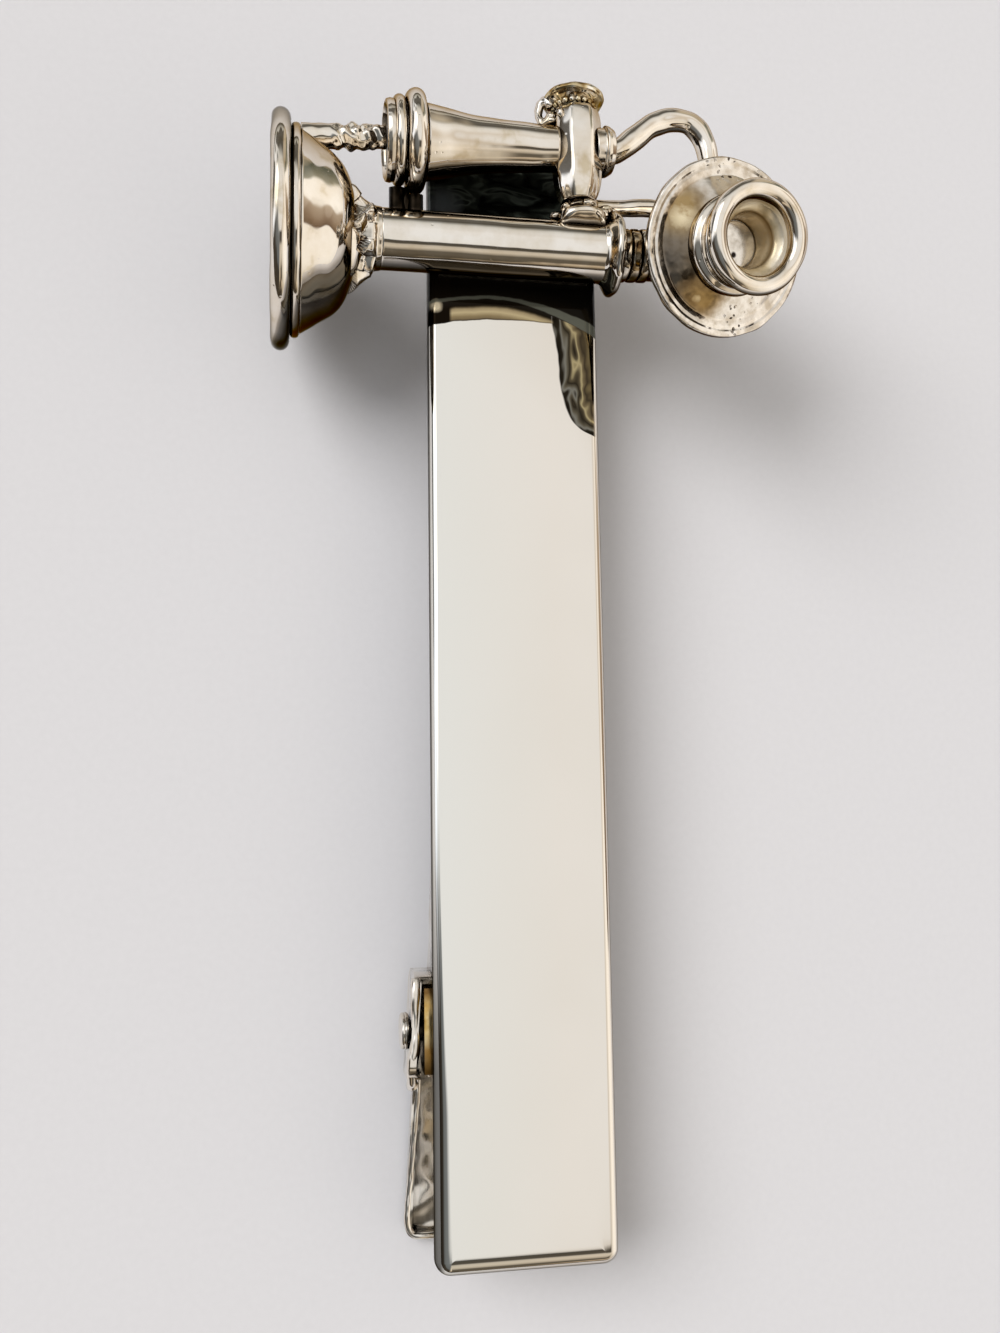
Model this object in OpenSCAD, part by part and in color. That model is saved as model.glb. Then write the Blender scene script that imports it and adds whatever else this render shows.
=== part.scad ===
// Tie clip: a flat polished bar, a small candlestick telephone lying across its head,
// and a sprung, toothed lever hinged behind it.
// X runs across the bar, Y runs up the bar to the telephone, Z rises out of the front.
// The pieces are laid out from the foot of the bar's front face, on its centreline, and
// are then moved so that the whole clip is centred over the origin and lies on Z = 0.

/* [Bar] */
// Width of the bar
bar_w = 9.5; // [8.5:0.1:11]
// Length of the bar
bar_l = 60; // [58:0.5:61]
// Thickness of the bar
bar_t = 1.5; // [1.2:0.1:1.7]
// Radius of the bar's corners, seen from the front
bar_corner_r = 0.8; // [0.4:0.1:1.5]

/* [Telephone stem] */
// Distance of the stem's centreline from the bar's top end
stem_drop = 6.25; // [5:0.25:9]
// Radius of the stem
stem_r = 1.6; // [1.3:0.05:1.7]
// Space between the stem and the bar's face, filled with solder
stem_lift = 0.15; // [0.05:0.05:0.4]
// Radius of the collar at the stem's head
collar_r = 2.25; // [2:0.05:2.4]
// Thickness of the collar
collar_t = 0.75; // [0.5:0.05:0.9]
// Distance of the solder seat's ends inside the bar's edges
seat_inset = 0.55; // [0.3:0.05:2]
// Width of the solder seat
seat_w = 2.2; // [1.4:0.1:2.6]
// Height of the solder seat
seat_h = 0.8; // [0.5:0.05:1.2]

/* [Telephone base] */
// Distance from the receiver's ear end to the underside of the foot
foot_out = 5.9; // [5.5:0.1:7.1]
// Radius of the foot
foot_r = 6.05; // [5.6:0.05:6.5]
// Thickness of the foot
foot_t = 1; // [0.7:0.05:1.2]
// Radius of the stepped bead on the foot
step_r = 5.4; // [5.2:0.05:5.5]
// Thickness of the stepped bead
step_t = 0.5; // [0.3:0.05:0.7]
// Radius of the bell where it meets the bead
bell_r = 5.15; // [4.8:0.05:5.15]
// Height of the bell
bell_h = 2.65; // [2.2:0.05:2.8]
// Radius of the bell's open top
bell_top_r = 2.65; // [2.4:0.05:3]
// Height of the flared ferrule between bell and stem
ferrule_h = 1.6; // [1.2:0.05:1.8]
// Radius of the ferrule where it meets the bell
ferrule_r = 2.55; // [2.2:0.05:2.6]

/* [Neck] */
// Radius of the neck's core
neck_core_r = 1.1; // [0.9:0.05:1.2]
// Radius of the neck's rings
neck_ring_r = 1.42; // [1.3:0.02:1.6]
// Length of the neck
neck_l = 1.7; // [1.4:0.05:1.9]
// Number of rings on the neck
neck_rings = 3; // [2:1:4]
// Radius of the lug that carries the transmitter
lug_r = 1.3; // [1:0.05:1.5]

/* [Transmitter] */
// Distance from the collar to the transmitter's pivot
pivot_out = 4.9; // [4.7:0.05:5.4]
// Angle by which the transmitter leans away from the stem
lean = 10.7; // [5:0.1:15]
// Angle by which the transmitter faces the foot of the bar
nod = 15.4; // [8:0.1:20]
// Radius of the back of the cup
cup_back_r = 1.8; // [1.5:0.05:2]
// Radius of the front of the cup
cup_front_r = 4.05; // [3.7:0.05:4.2]
// Distance of the cup's back behind the pivot
cup_back = 1.2; // [0.9:0.05:1.3]
// Distance of the cup's front before the pivot
cup_front = 3.5; // [3.2:0.05:3.8]
// Radius of the faceplate
plate_r = 4.6; // [4.3:0.05:5]
// Thickness of the faceplate's rim
plate_t = 0.5; // [0.4:0.05:0.6]
// Height of the faceplate's centre over its back
plate_rise = 1; // [0.8:0.05:1.3]

/* [Mouthpiece] */
// Radius of the mouthpiece's front ring
mouth_r = 2.85; // [2.6:0.05:3.1]
// Height of the whole mouthpiece
mouth_h = 3.05; // [2.8:0.05:3.3]
// Height of the front ring
mouth_ring_h = 0.9; // [0.7:0.05:1]
// Reach of the flange on the faceplate, outside the waist
mouth_flange_out = 0.3; // [0.1:0.05:0.45]
// Height of that flange
mouth_flange_h = 0.8; // [0.5:0.05:0.9]
// Radius of the opening at the front
mouth_open_r = 2; // [1.8:0.05:2.15]
// Depth of the wide part of the opening
mouth_open_d = 1; // [0.6:0.05:1.1]
// Wall of the waist, outside the opening's radius
mouth_wall = 0.25; // [0.15:0.05:0.35]
// Height of the bead round the waist
mouth_bead_h = 0.25; // [0.15:0.05:0.35]
// Step from the opening in to the narrow bore behind it
mouth_step = 0.4; // [0.3:0.05:0.6]
// Fall in radius of that bore, down to its bottom
mouth_taper = 0.35; // [0.2:0.05:0.5]
// Thickness of the disc at the bottom of the bore
disc_t = 0.3; // [0.2:0.05:0.5]

/* [Receiver] */
// Length from the hook to the receiver's far end
receiver_l = 10.75; // [10.5:0.05:11]
// Angle by which the receiver's ear end dips toward the stem
receiver_dip = 1.8; // [0:0.1:2.5]
// Radius of the ear cap
cap_r = 2.1; // [1.9:0.05:2.2]
// Radius of the small band beside the cap
small_band_r = 2.32; // [2.2:0.02:2.4]
// Radius of the large band
large_band_r = 2.67; // [2.5:0.02:2.75]
// Radius of the shell's wide end
shell_r = 1.98; // [1.8:0.02:2.1]
// Radius of the shell's narrow end
shell_end_r = 1.2; // [1.05:0.05:1.3]
// Radius of the spigot that passes through the hook
spigot_r = 0.5; // [0.35:0.05:0.6]
// Radius of the ring at the receiver's tail
tail_r = 1.25; // [1.1:0.05:1.35]
// Length of the tail
tail_l = 0.4; // [0.3:0.05:0.6]

/* [Switch hook] */
// Distance of the hook's middle inside the collar
hook_inset = 1.4; // [1.25:0.05:1.55]
// Space between the receiver's large band and the stem, were they parallel
receiver_gap = 1.18; // [1:0.02:1.5]
// Distance of the hook in front of the stem's centreline
hook_forward = 0.85; // [0.7:0.05:0.95]
// Radius of the hook's foot flange
flange_r = 1.35; // [1.2:0.05:1.4]
// Height of the foot flange
flange_h = 0.55; // [0.4:0.05:0.7]
// Half width of the faceted column across its flats
column_half = 1.36; // [1.25:0.01:1.4]
// Length of the faceted column
column_l = 5.2; // [4.9:0.05:5.4]
// Radius of the finial's rim
finial_r = 1.6; // [1.45:0.05:1.7]
// Radius of the finial rim's rounded edge
finial_bead_r = 0.45; // [0.3:0.05:0.5]
// Distance of the finial to the left of the column
finial_shift = 0.35; // [0:0.05:0.5]
// Radius of the curl beside the finial, to the middle of its wire
curl_r = 0.46; // [0.4:0.02:0.52]
// Radius of the curl's wire
curl_wire_r = 0.2; // [0.15:0.01:0.24]

/* [Cord] */
// Radius of the cast cord where it leaves the receiver
cord_r = 0.62; // [0.5:0.02:0.68]
// Radius of the cast cord where it ends on the collar
cord_end_r = 0.38; // [0.3:0.02:0.44]
// Distance from the receiver's tail to the far side of the cord's bend
cord_span = 6; // [5.6:0.1:6.4]
// Radius of the rope rod where it meets the foot
rod_r = 0.65; // [0.5:0.05:0.75]
// Radius of the rope rod where it meets the ear cap
rod_end_r = 0.56; // [0.45:0.05:0.65]
// Radius of the posts between ear cap and stem
post_r = 0.42; // [0.3:0.02:0.48]

/* [Hinge] */
// Height of the hinge pin up the bar
hinge_y = 11.7; // [11:0.1:12.5]
// Space between the spring's coil and the bracket's sheet
bracket_clear = 0.3; // [0.2:0.05:0.5]
// Radius of the hinge pin
pin_r = 0.55; // [0.45:0.05:0.6]
// Radial running clearance of the lever on the pin
pin_clear = 0.05; // [0.03:0.01:0.1]
// Radius of the pin's riveted heads
rivet_r = 0.95; // [0.8:0.05:1.1]
// Thickness of the riveted heads
rivet_t = 0.3; // [0.2:0.05:0.4]
// Thickness of the bracket's sheet
bracket_t = 0.4; // [0.3:0.05:0.45]
// Distance of the whole clamp to the left of the bar's centreline
clamp_shift = 0.5; // [0:0.05:0.6]
// Distance of the bracket's sides inside the bar's, were it in the middle
bracket_inset = 0.15; // [0:0.05:0.25]
// Length of the bracket along the bar
bracket_l = 4.4; // [4:0.1:4.6]
// Depth of the bracket's round ears behind the pin
bracket_ear_drop = 1.1; // [0.9:0.05:1.15]

/* [Lever] */
// Thickness of the lever's sheet
sheet_t = 0.35; // [0.3:0.05:0.4]
// Side clearance between the lever's ears and the bracket
ear_clear = 0.08; // [0.06:0.02:0.14]
// Outward spread of each ear toward the paddle
ear_spread = 0.35; // [0.1:0.05:0.4]
// Length of the lever's ears beyond the bracket's
ear_over = 1.2; // [1:0.1:1.6]
// Space between the spring's coil and the lever's web
spring_clear = 0.25; // [0.2:0.05:0.35]
// Height of the lever's paddle end above the bar's foot
paddle_start = 0.4; // [0.2:0.1:1]
// Reach of the paddle's end outside the ears, on each side
paddle_out = 0.27; // [0.05:0.01:0.55]
// Draw-in of the paddle's waist inside the ears, on each side
paddle_waist_in = 0.13; // [0:0.01:0.35]
// Radius of the paddle's corners
paddle_corner_r = 0.7; // [0.5:0.05:1]
// Extra depth of the paddle's end behind the web
paddle_drop = 0.8; // [0.6:0.05:0.9]
// Height of the rim round the paddle
paddle_rim = 0.5; // [0.3:0.05:0.6]
// Length of the jaw beyond the ears
jaw_l = 29.5; // [26:0.5:32]
// Distance of the jaw's sides inside the bracket's
jaw_inset = 0.5; // [0.4:0.05:0.8]
// Depth of the jaw beside the ears, from the bar's back
jaw_heel_depth = 2.1; // [1.7:0.05:2.4]
// Half width of the jaw near its tip
jaw_tip_half = 3; // [2.4:0.1:3.4]
// Depth of the jaw's tip
jaw_tip_depth = 0.8; // [0.6:0.05:1]
// Gap between the closed jaw's tip and the bar's back
jaw_gap = 0.1; // [0.05:0.05:0.3]
// Gap between the teeth beside the ears and the bar's back
jaw_heel_gap = 0.6; // [0.4:0.05:0.8]
// Distance between two teeth
tooth_pitch = 0.6; // [0.5:0.05:1]
// Height of a tooth
tooth_h = 0.3; // [0.2:0.05:0.4]

/* [Spring] */
// Space between the pin and the spring's coil
coil_slack = 0.25; // [0.2:0.05:0.3]
// Radius of the spring's wire
wire_r = 0.2; // [0.15:0.01:0.2]
// Full turns of the coil, besides its last half turn
coil_turns = 6; // [4:1:8]
// Distance of the coil's ends inside the bracket's ears
coil_inset = 0.7875; // [0.5:0.0125:1]
// Length of each leg of the spring
leg_l = 5.6; // [4:0.1:6]

/* [Hidden] */
$fn = 64;

// A cut runs this far past the piece that it cuts
overrun = 0.5;
// Space left where two pieces are soldered along a curved face
solder_gap = 0.02;

// The telephone is set out from its collar, which is flush with the bar's edge
stem_y = bar_l - stem_drop;
stem_z = stem_r + stem_lift;
collar_x = bar_w / 2;
seat_l = bar_w - 2 * seat_inset;
hook_x = collar_x - hook_inset;
pivot_x = collar_x + pivot_out;
foot_x = hook_x - receiver_l - foot_out;
bead_x = foot_x + foot_t;
bell_x = bead_x + step_t;
ferrule_x = bell_x + bell_h;
stem_x = ferrule_x + ferrule_h;
neck_x = collar_x + collar_t;
lug_x = neck_x + neck_l;

// Shares of the bell's height and of its fall in radius, from the foot up
bell_shares = [
    [0, 1], [0.2, 0.88], [0.4, 0.74], [0.6, 0.6], [0.74, 0.47], [0.85, 0.33], [0.93, 0.18], [1, 0]
];
// Shares of the ferrule's height and of its fall in radius
ferrule_shares = [[0, 1], [0.2, 0.76], [0.4, 0.53], [0.6, 0.31], [0.8, 0.13], [1, 0]];
// Shares of the receiver shell's length and of its fall in radius
shell_shares = [
    [0, 1], [0.08, 0.86], [0.2, 0.63], [0.34, 0.41], [0.5, 0.26], [0.66, 0.15], [0.84, 0.05], [1, 0]
];
// Shares of the cup's depth and of its growth in radius
cup_shares = [[0, 0], [0.08, 0.16], [0.28, 0.36], [0.5, 0.58], [0.72, 0.79], [0.9, 0.94], [1, 1]];
// Shares of the column's length and of its swell, from foot to head
column_shares = [[0, 0], [0.12, 0.57], [0.3, 0.93], [0.52, 1], [0.75, 0.97], [0.92, 0.83], [1, 0.63]];
column_foot_share = 0.67;
column_sides = 8;
// Places along the receiver, as shares of its length from the hook
small_band_share = 0.933;
large_band_share = 0.839;
shell_start_share = 0.796;

collar_edge_r = collar_t / 3;
foot_edge_r = foot_t / 2;
bead_edge_r = step_t / 2;
neck_ring_pitch = neck_l / neck_rings;
neck_ring_edge_r = neck_ring_pitch / 2;

plate_s = cup_front;
mouth_s = plate_s + plate_rise;
plate_edge_r = plate_t / 2;
plate_groove_r = plate_r - plate_t * 1.4;
plate_groove_s = plate_s + plate_t * 0.7;
mouth_waist_r = mouth_open_r + mouth_wall;
mouth_flange_r = mouth_waist_r + mouth_flange_out;
mouth_bore_r = mouth_open_r - mouth_step;
mouth_bottom_r = mouth_bore_r - mouth_taper;
mouth_edge_r = mouth_ring_h * 0.3;
mouth_bead_edge_r = mouth_bead_h * 0.7;
disc_r = mouth_bottom_r - solder_gap;

shell_x = -receiver_l * shell_start_share;
shell_end_x = -column_half - 2 * solder_gap;
small_band_x = -receiver_l * small_band_share;
large_band_x = -receiver_l * large_band_share;
small_band_edge_r = small_band_r * 0.11;
large_band_edge_r = large_band_r * 0.17;
cap_l = receiver_l + small_band_x - small_band_edge_r;
cap_dome = cap_l / 3;
tail_x = column_half + 2 * solder_gap;

hook_y = stem_y + stem_r + receiver_gap + large_band_r;
hook_z = stem_z + hook_forward;
flange_y = stem_y + sqrt(pow(stem_r, 2) - pow(hook_forward, 2));
column_y = flange_y + flange_h + column_l * 0.09;
finial_y = column_y + column_l;
finial_top_y = finial_y + 2 * finial_bead_r;

coil_r = pin_r + coil_slack + wire_r;
pin_z = -bar_t - bracket_t - bracket_clear - wire_r - coil_r;
web_drop = coil_r + wire_r + spring_clear + sheet_t;
bracket_w = bar_w - 2 * bracket_inset;
bracket_inner_half = bracket_w / 2 - bracket_t;
bracket_shift = bracket_l * 0.05;
ear_l = bracket_l + ear_over;
ear_high_half = bracket_w / 2 + ear_clear + sheet_t;
ear_low_half = ear_high_half + ear_spread;
ear_low_y = hinge_y - ear_l * 0.44;
ear_high_y = ear_low_y + ear_l;
ear_corner_r = ear_l / 6;
ear_top_z = -bar_t - bracket_t;
paddle_half = ear_high_half + paddle_out;
paddle_waist_half = ear_high_half - paddle_waist_in;
jaw_half = bracket_w / 2 - jaw_inset;
web_z = pin_z - web_drop;
paddle_z = web_z - paddle_drop;
jaw_tip_y = ear_high_y + jaw_l;
jaw_top_z = -bar_t - jaw_gap;
jaw_heel_z = -bar_t - jaw_heel_gap;
jaw_heel_l = jaw_l * 0.1;
jaw_step_l = jaw_heel_l / 2;
tooth_count = floor(jaw_l / tooth_pitch);
head_x = ear_low_half + ear_clear / 3;
bore_r = pin_r + pin_clear;

plate_side = pivot_x + (plate_s + plate_t) * sin(lean) + plate_r * cos(lean);
origin = [(plate_side + foot_x) / 2, finial_top_y / 2, paddle_z];

// Moves a piece from the bar's own layout to the clip's origin.
module placed() {
    translate(-origin) children();
}

// Moves a piece of the clamp to the clamp's own centreline.
module clamped() {
    translate([-clamp_shift, 0, 0]) children();
}

// Turns a profile of [radius, distance] points about the local Z axis.
module turned(points) {
    rotate_extrude() polygon(points);
}

// Lays local Z along the stem, starting at a distance from the bar's centreline.
module on_stem(x) {
    translate([x, stem_y, stem_z]) rotate([0, 90, 0]) children();
}

// Lays local Z along the receiver, with zero at the middle of the hook.
module on_receiver() {
    translate([hook_x, hook_y, hook_z]) rotate([0, 0, receiver_dip]) rotate([0, 90, 0]) children();
}

// Lays local Z along the transmitter, with zero at its pivot.
module on_transmitter() {
    translate([pivot_x, stem_y, stem_z]) rotate([nod, 0, 0]) rotate([0, lean, 0]) children();
}

// Lays local Z up the hook, starting at a height up the bar.
module on_hook(y) {
    translate([hook_x, y, hook_z]) rotate([-90, 0, 0]) children();
}

// A disc with a fully or partly rounded edge, from local Z = 0 upward.
module rounded_disc(r, t, edge_r) {
    rotate_extrude() {
        square([r - edge_r, t]);
        translate([0, edge_r]) square([r, max(t - 2 * edge_r, edge_r / 100)]);
        translate([r - edge_r, edge_r]) circle(edge_r);
        translate([r - edge_r, t - edge_r]) circle(edge_r);
    }
}

// The points of a curved profile from radius r1 to r0 along a height, by a table of shares.
function flowed(shares, h, r1, r0) = [for (s = shares) [r0 + (r1 - r0) * s[1], h * s[0]]];

// The polished bar, with rounded long edges, ends and corners.
module front_bar() {
    edge_r = bar_t / 2;
    color("gainsboro") placed() intersection() {
        translate([0, bar_l / 2, -bar_t]) linear_extrude(bar_t) rounded_plan(bar_w, bar_l, bar_corner_r);
        translate([0, bar_l, -edge_r]) rotate([90, 0, 0]) linear_extrude(bar_l) rounded_band(bar_w, bar_t);
        translate([-bar_w / 2, bar_l / 2, -edge_r]) rotate([90, 0, 90]) linear_extrude(bar_w)
            rounded_band(bar_l, bar_t);
    }
}

// A rectangle with four round corners, centred.
module rounded_plan(w, l, r) {
    square([w - 2 * r, l], center = true);
    square([w, l - 2 * r], center = true);
    for (x = [-1, 1], y = [-1, 1]) translate([x * (w / 2 - r), y * (l / 2 - r)]) circle(r);
}

// A band with half round ends, centred.
module rounded_band(w, t) {
    square([w - t, t], center = true);
    for (x = [-1, 1]) translate([x * (w - t) / 2, 0]) circle(t / 2);
}

// The solder that holds the stem on the bar.
module stem_seat() {
    color("dimgray") placed() difference() {
        translate([-seat_l / 2, stem_y - seat_w / 2, 0]) cube([seat_l, seat_w, seat_h]);
        on_stem(-seat_l) cylinder(h = 2 * seat_l, r = stem_r + solder_gap);
    }
}

// The foot of the telephone, flat beneath, with a round edge.
module foot() {
    color("silver") placed() on_stem(foot_x) rounded_disc(foot_r, foot_t, foot_edge_r);
}

// The stepped bead between foot and bell.
module foot_bead() {
    color("silver") placed() on_stem(bead_x) rounded_disc(step_r, step_t, bead_edge_r);
}

// The bell of the base, falling to a narrow top.
module bell() {
    color("silver") placed() on_stem(bell_x) bell_solid();
}

module bell_solid() {
    turned(concat([[0, 0]], flowed(bell_shares, bell_h, bell_r, bell_top_r), [[0, bell_h]]));
}

// The flared ferrule from which the stem grows.
module ferrule() {
    color("gainsboro") placed() on_stem(ferrule_x) ferrule_solid(0);
}

module ferrule_solid(grow) {
    flare = flowed(ferrule_shares, ferrule_h, ferrule_r + grow, stem_r + grow);
    turned(concat([[0, 0]], flare, [[0, ferrule_h]]));
}

// The plain round stem.
module stem() {
    color("gainsboro") placed() on_stem(stem_x) cylinder(h = collar_x - stem_x, r = stem_r);
}

// The collar at the stem's head.
module collar() {
    color("silver") placed() on_stem(collar_x) rounded_disc(collar_r, collar_t, collar_edge_r);
}

// The ringed neck beyond the collar.
module neck() {
    color("silver") placed() difference() {
        on_stem(neck_x) {
            cylinder(h = neck_l, r = neck_core_r);
            for (i = [0:neck_rings - 1]) translate([0, 0, neck_ring_pitch * (i + 0.5)])
                rotate_extrude() translate([neck_ring_r - neck_ring_edge_r, 0]) circle(neck_ring_edge_r);
        }
        on_transmitter() cup_solid(solder_gap);
    }
}

// The lug between the neck and the transmitter's cup.
module swivel_lug() {
    color("silver") placed() difference() {
        on_stem(lug_x) cylinder(h = pivot_x - lug_x, r = lug_r);
        on_transmitter() cup_solid(solder_gap);
    }
}

module cup_solid(grow) {
    depth = cup_back + cup_front;
    translate([0, 0, -cup_back]) turned(concat(
        [[0, -grow]],
        [[cup_back_r + grow, -grow]],
        flowed(cup_shares, depth, cup_front_r + grow, cup_back_r + grow),
        [[0, depth]]
    ));
}

// The cup behind the faceplate.
module transmitter_cup() {
    color("silver") placed() on_transmitter() cup_solid(0);
}

// The faceplate, with a round rim, a groove and a rising middle.
module faceplate() {
    color("silver") placed() on_transmitter() {
        turned([
            [0, plate_s], [plate_r - plate_edge_r, plate_s], [plate_r - plate_edge_r, plate_s + plate_t],
            [plate_groove_r, plate_groove_s], [mouth_flange_r, mouth_s], [0, mouth_s]
        ]);
        translate([0, 0, plate_s + plate_edge_r]) rotate_extrude()
            translate([plate_r - plate_edge_r, 0]) circle(plate_edge_r);
    }
}

// The mouthpiece: flange, waist and rounded ring round a stepped bore.
module mouthpiece() {
    ring_s = mouth_h - mouth_ring_h;
    color("gainsboro") placed() on_transmitter() translate([0, 0, mouth_s]) difference() {
        union() {
            rounded_disc(mouth_flange_r, mouth_flange_h, mouth_flange_h / 2);
            cylinder(h = mouth_h - mouth_edge_r, r = mouth_waist_r);
            translate([0, 0, (mouth_flange_h + ring_s) / 2]) rotate_extrude()
                translate([mouth_waist_r + mouth_bead_h - mouth_bead_edge_r, 0]) circle(mouth_bead_edge_r);
            translate([0, 0, ring_s]) rounded_disc(mouth_r, mouth_ring_h, mouth_edge_r);
        }
        translate([0, 0, -overrun]) cylinder(h = 2 * overrun, r = mouth_bottom_r);
        cylinder(h = mouth_h - mouth_open_d + solder_gap, r1 = mouth_bottom_r, r2 = mouth_bore_r);
        translate([0, 0, mouth_h - mouth_open_d]) cylinder(h = mouth_open_d + overrun, r = mouth_open_r);
    }
}

// The pale disc at the bottom of the mouthpiece.
module mouthpiece_disc() {
    color("white") placed() on_transmitter() translate([0, 0, mouth_s]) cylinder(h = disc_t, r = disc_r);
}

module cap_solid(grow) {
    translate([0, 0, -receiver_l]) turned([
        [0, -grow], [cap_r - cap_dome, -grow], [cap_r + grow, cap_dome], [cap_r + grow, cap_l], [0, cap_l]
    ]);
}

// The cap that closes the receiver's ear end.
module ear_cap() {
    color("dimgray") placed() on_receiver() cap_solid(0);
}

// The two round bands beside the cap.
module ear_bands() {
    color("silver") placed() on_receiver() {
        translate([0, 0, small_band_x - small_band_edge_r])
            rounded_disc(small_band_r, 2 * small_band_edge_r, small_band_edge_r);
        translate([0, 0, small_band_x])
            cylinder(h = large_band_x - small_band_x, r = small_band_r - small_band_edge_r);
        translate([0, 0, large_band_x - large_band_edge_r])
            rounded_disc(large_band_r, shell_x - large_band_x + large_band_edge_r, large_band_edge_r);
    }
}

// The flared shell of the receiver, with the spigot that passes through the hook.
module receiver_shell() {
    shell_l = shell_end_x - shell_x;
    color("gainsboro") placed() on_receiver() {
        translate([0, 0, shell_x])
            turned(concat([[0, 0]], flowed(shell_shares, shell_l, shell_r, shell_end_r), [[0, shell_l]]));
        translate([0, 0, shell_end_x]) cylinder(h = tail_x + tail_l / 2 - shell_end_x, r = spigot_r);
    }
}

module tail_solid(grow) {
    translate([0, 0, tail_x]) rounded_disc(tail_r + grow, tail_l + grow, tail_l / 3);
}

// The ring on the spigot beyond the hook.
module receiver_tail() {
    color("silver") placed() on_receiver() difference() {
        tail_solid(0);
        translate([0, 0, tail_x - overrun]) cylinder(h = overrun + tail_l / 2, r = spigot_r + solder_gap);
    }
}

// The two posts that hold the ear end on the stem.
module receiver_posts() {
    bands = [[small_band_x, max(small_band_r, cap_r)], [large_band_x, large_band_r]];
    color("dimgray") placed() for (band = bands) difference() {
        translate([hook_x + band[0] * cos(receiver_dip), stem_y, stem_z])
            rotate([-90, 0, 0]) cylinder(h = hook_y - stem_y, r = post_r);
        on_stem(stem_x - stem_r) cylinder(h = collar_x - stem_x, r = stem_r + solder_gap);
        on_stem(ferrule_x) ferrule_solid(solder_gap);
        on_receiver() translate([0, 0, band[0] - 2 * post_r])
            cylinder(h = 4 * post_r, r = band[1] + solder_gap);
    }
}

// The round flange by which the hook stands on the stem.
module hook_flange() {
    color("silver") placed() difference() {
        union() {
            on_hook(stem_y) cylinder(h = flange_y - stem_y + flange_h, r = flange_r);
            on_hook(flange_y + flange_h) cylinder(
                h = column_y - flange_y - flange_h, r1 = flange_r * 0.7, r2 = column_half * column_foot_share
            );
        }
        on_stem(stem_x) cylinder(h = collar_x - stem_x, r = stem_r + solder_gap);
        translate([0, stem_y, stem_z]) rotate([90, 0, 0]) cylinder(h = stem_r + flange_r, r = 2 * collar_x);
        on_stem(collar_x) cylinder(h = collar_t, r = collar_r + solder_gap);
    }
}

module column_solid(grow) {
    turn = 180 / column_sides;
    swell = (column_half + grow) / cos(turn);
    swelling = flowed(column_shares, column_l, swell, swell * column_foot_share);
    rotate(turn) rotate_extrude($fn = column_sides) polygon(concat([[0, 0]], swelling, [[0, column_l]]));
}

// The eight sided column of the hook, bored for the receiver's spigot.
module hook_column() {
    color("gainsboro") placed() difference() {
        on_hook(column_y) column_solid(0);
        on_receiver() translate([0, 0, -2 * column_half])
            cylinder(h = 4 * column_half, r = spigot_r + solder_gap);
    }
}

module finial_solid(grow) {
    rounded_disc(finial_r + grow, 2 * finial_bead_r, finial_bead_r);
}

// The round rim on top of the hook.
module hook_finial() {
    color("silver") placed() on_hook(finial_y) translate([-finial_shift, 0, 0]) difference() {
        finial_solid(0);
        translate([0, 0, finial_bead_r])
            cylinder(h = finial_bead_r + overrun, r1 = finial_r / 3, r2 = finial_r - finial_bead_r);
    }
}

// The small curl beside the finial.
module hook_curl() {
    curl_x = hook_x - column_half - curl_wire_r;
    color("silver") placed() difference() {
        translate([curl_x, finial_y - curl_r, hook_z]) rotate([0, 55, 0])
            rotate_extrude($fn = 48) translate([curl_r, 0]) circle(curl_wire_r, $fn = 24);
        on_hook(column_y) column_solid(solder_gap);
        on_hook(finial_y - solder_gap) translate([-finial_shift, 0, 0]) finial_solid(solder_gap);
        on_receiver() translate([0, 0, shell_x])
            cylinder(h = -shell_x, r = shell_end_r + (shell_r - shell_end_r) / 10 + solder_gap);
    }
}

// A point between p1 and p2 on the smooth curve through four points.
function smooth(p0, p1, p2, p3, t) =
    p1 + t / 2 * (p2 - p0 + t * (2 * p0 - 5 * p1 + 4 * p2 - p3 + t * (3 * (p1 - p2) + p3 - p0)));
function smooth_path(p, steps) = concat(
    [for (i = [0:len(p) - 2], k = [0:steps - 1])
        smooth(p[max(i - 1, 0)], p[i], p[i + 1], p[min(i + 2, len(p) - 1)], k / steps)],
    [p[len(p) - 1]]
);
function unit(v) = v / norm(v);
function heading(p, i) = unit(p[min(i + 1, len(p) - 1)] - p[max(i - 1, 0)]);

// Sweeps a round tube along points; radii[i] is its radius at point i, and up is never along it.
module tube(p, radii, sides, up) {
    n = len(p);
    rings = [for (i = [0:n - 1])
        let (h = heading(p, i), a = unit(cross(h, up)), b = cross(h, a))
        for (k = [0:sides - 1])
            p[i] + radii[i] * (a * cos(360 * k / sides) + b * sin(360 * k / sides))];
    walls = [for (i = [0:n - 2], k = [0:sides - 1])
        let (a = i * sides + k, b = i * sides + (k + 1) % sides)
        each [[a, a + sides, b + sides], [a, b + sides, b]]];
    start = [for (k = [1:sides - 2]) [0, k, k + 1]];
    last = (n - 1) * sides;
    end = [for (k = [1:sides - 2]) [last, last + k + 1, last + k]];
    polyhedron(rings, concat(walls, start, end));
}

// Where the cast cord runs, as shares of its span from inside the receiver's tail:
// out, over in a bend, down behind the faceplate and back to the collar.
cord_shares = [
    [0, 0, 0], [0.1, 0, 0], [0.19, 0.045, 0], [0.31, 0.15, 0], [0.44, 0.265, 0], [0.55, 0.33, 0],
    [0.66, 0.37, 0], [0.81, 0.375, -0.01], [0.9, 0.34, -0.02], [0.98, 0.26, -0.03], [1.03, 0.13, -0.04],
    [1.05, -0.02, -0.06], [1.02, -0.18, -0.08], [0.93, -0.32, -0.11], [0.8, -0.41, -0.13],
    [0.62, -0.44, -0.14], [0.46, -0.44, -0.14], [0.3, -0.45, -0.14], [0.1, -0.46, -0.14]
];
cord_steps = 2;
cord_sides = 10;

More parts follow.
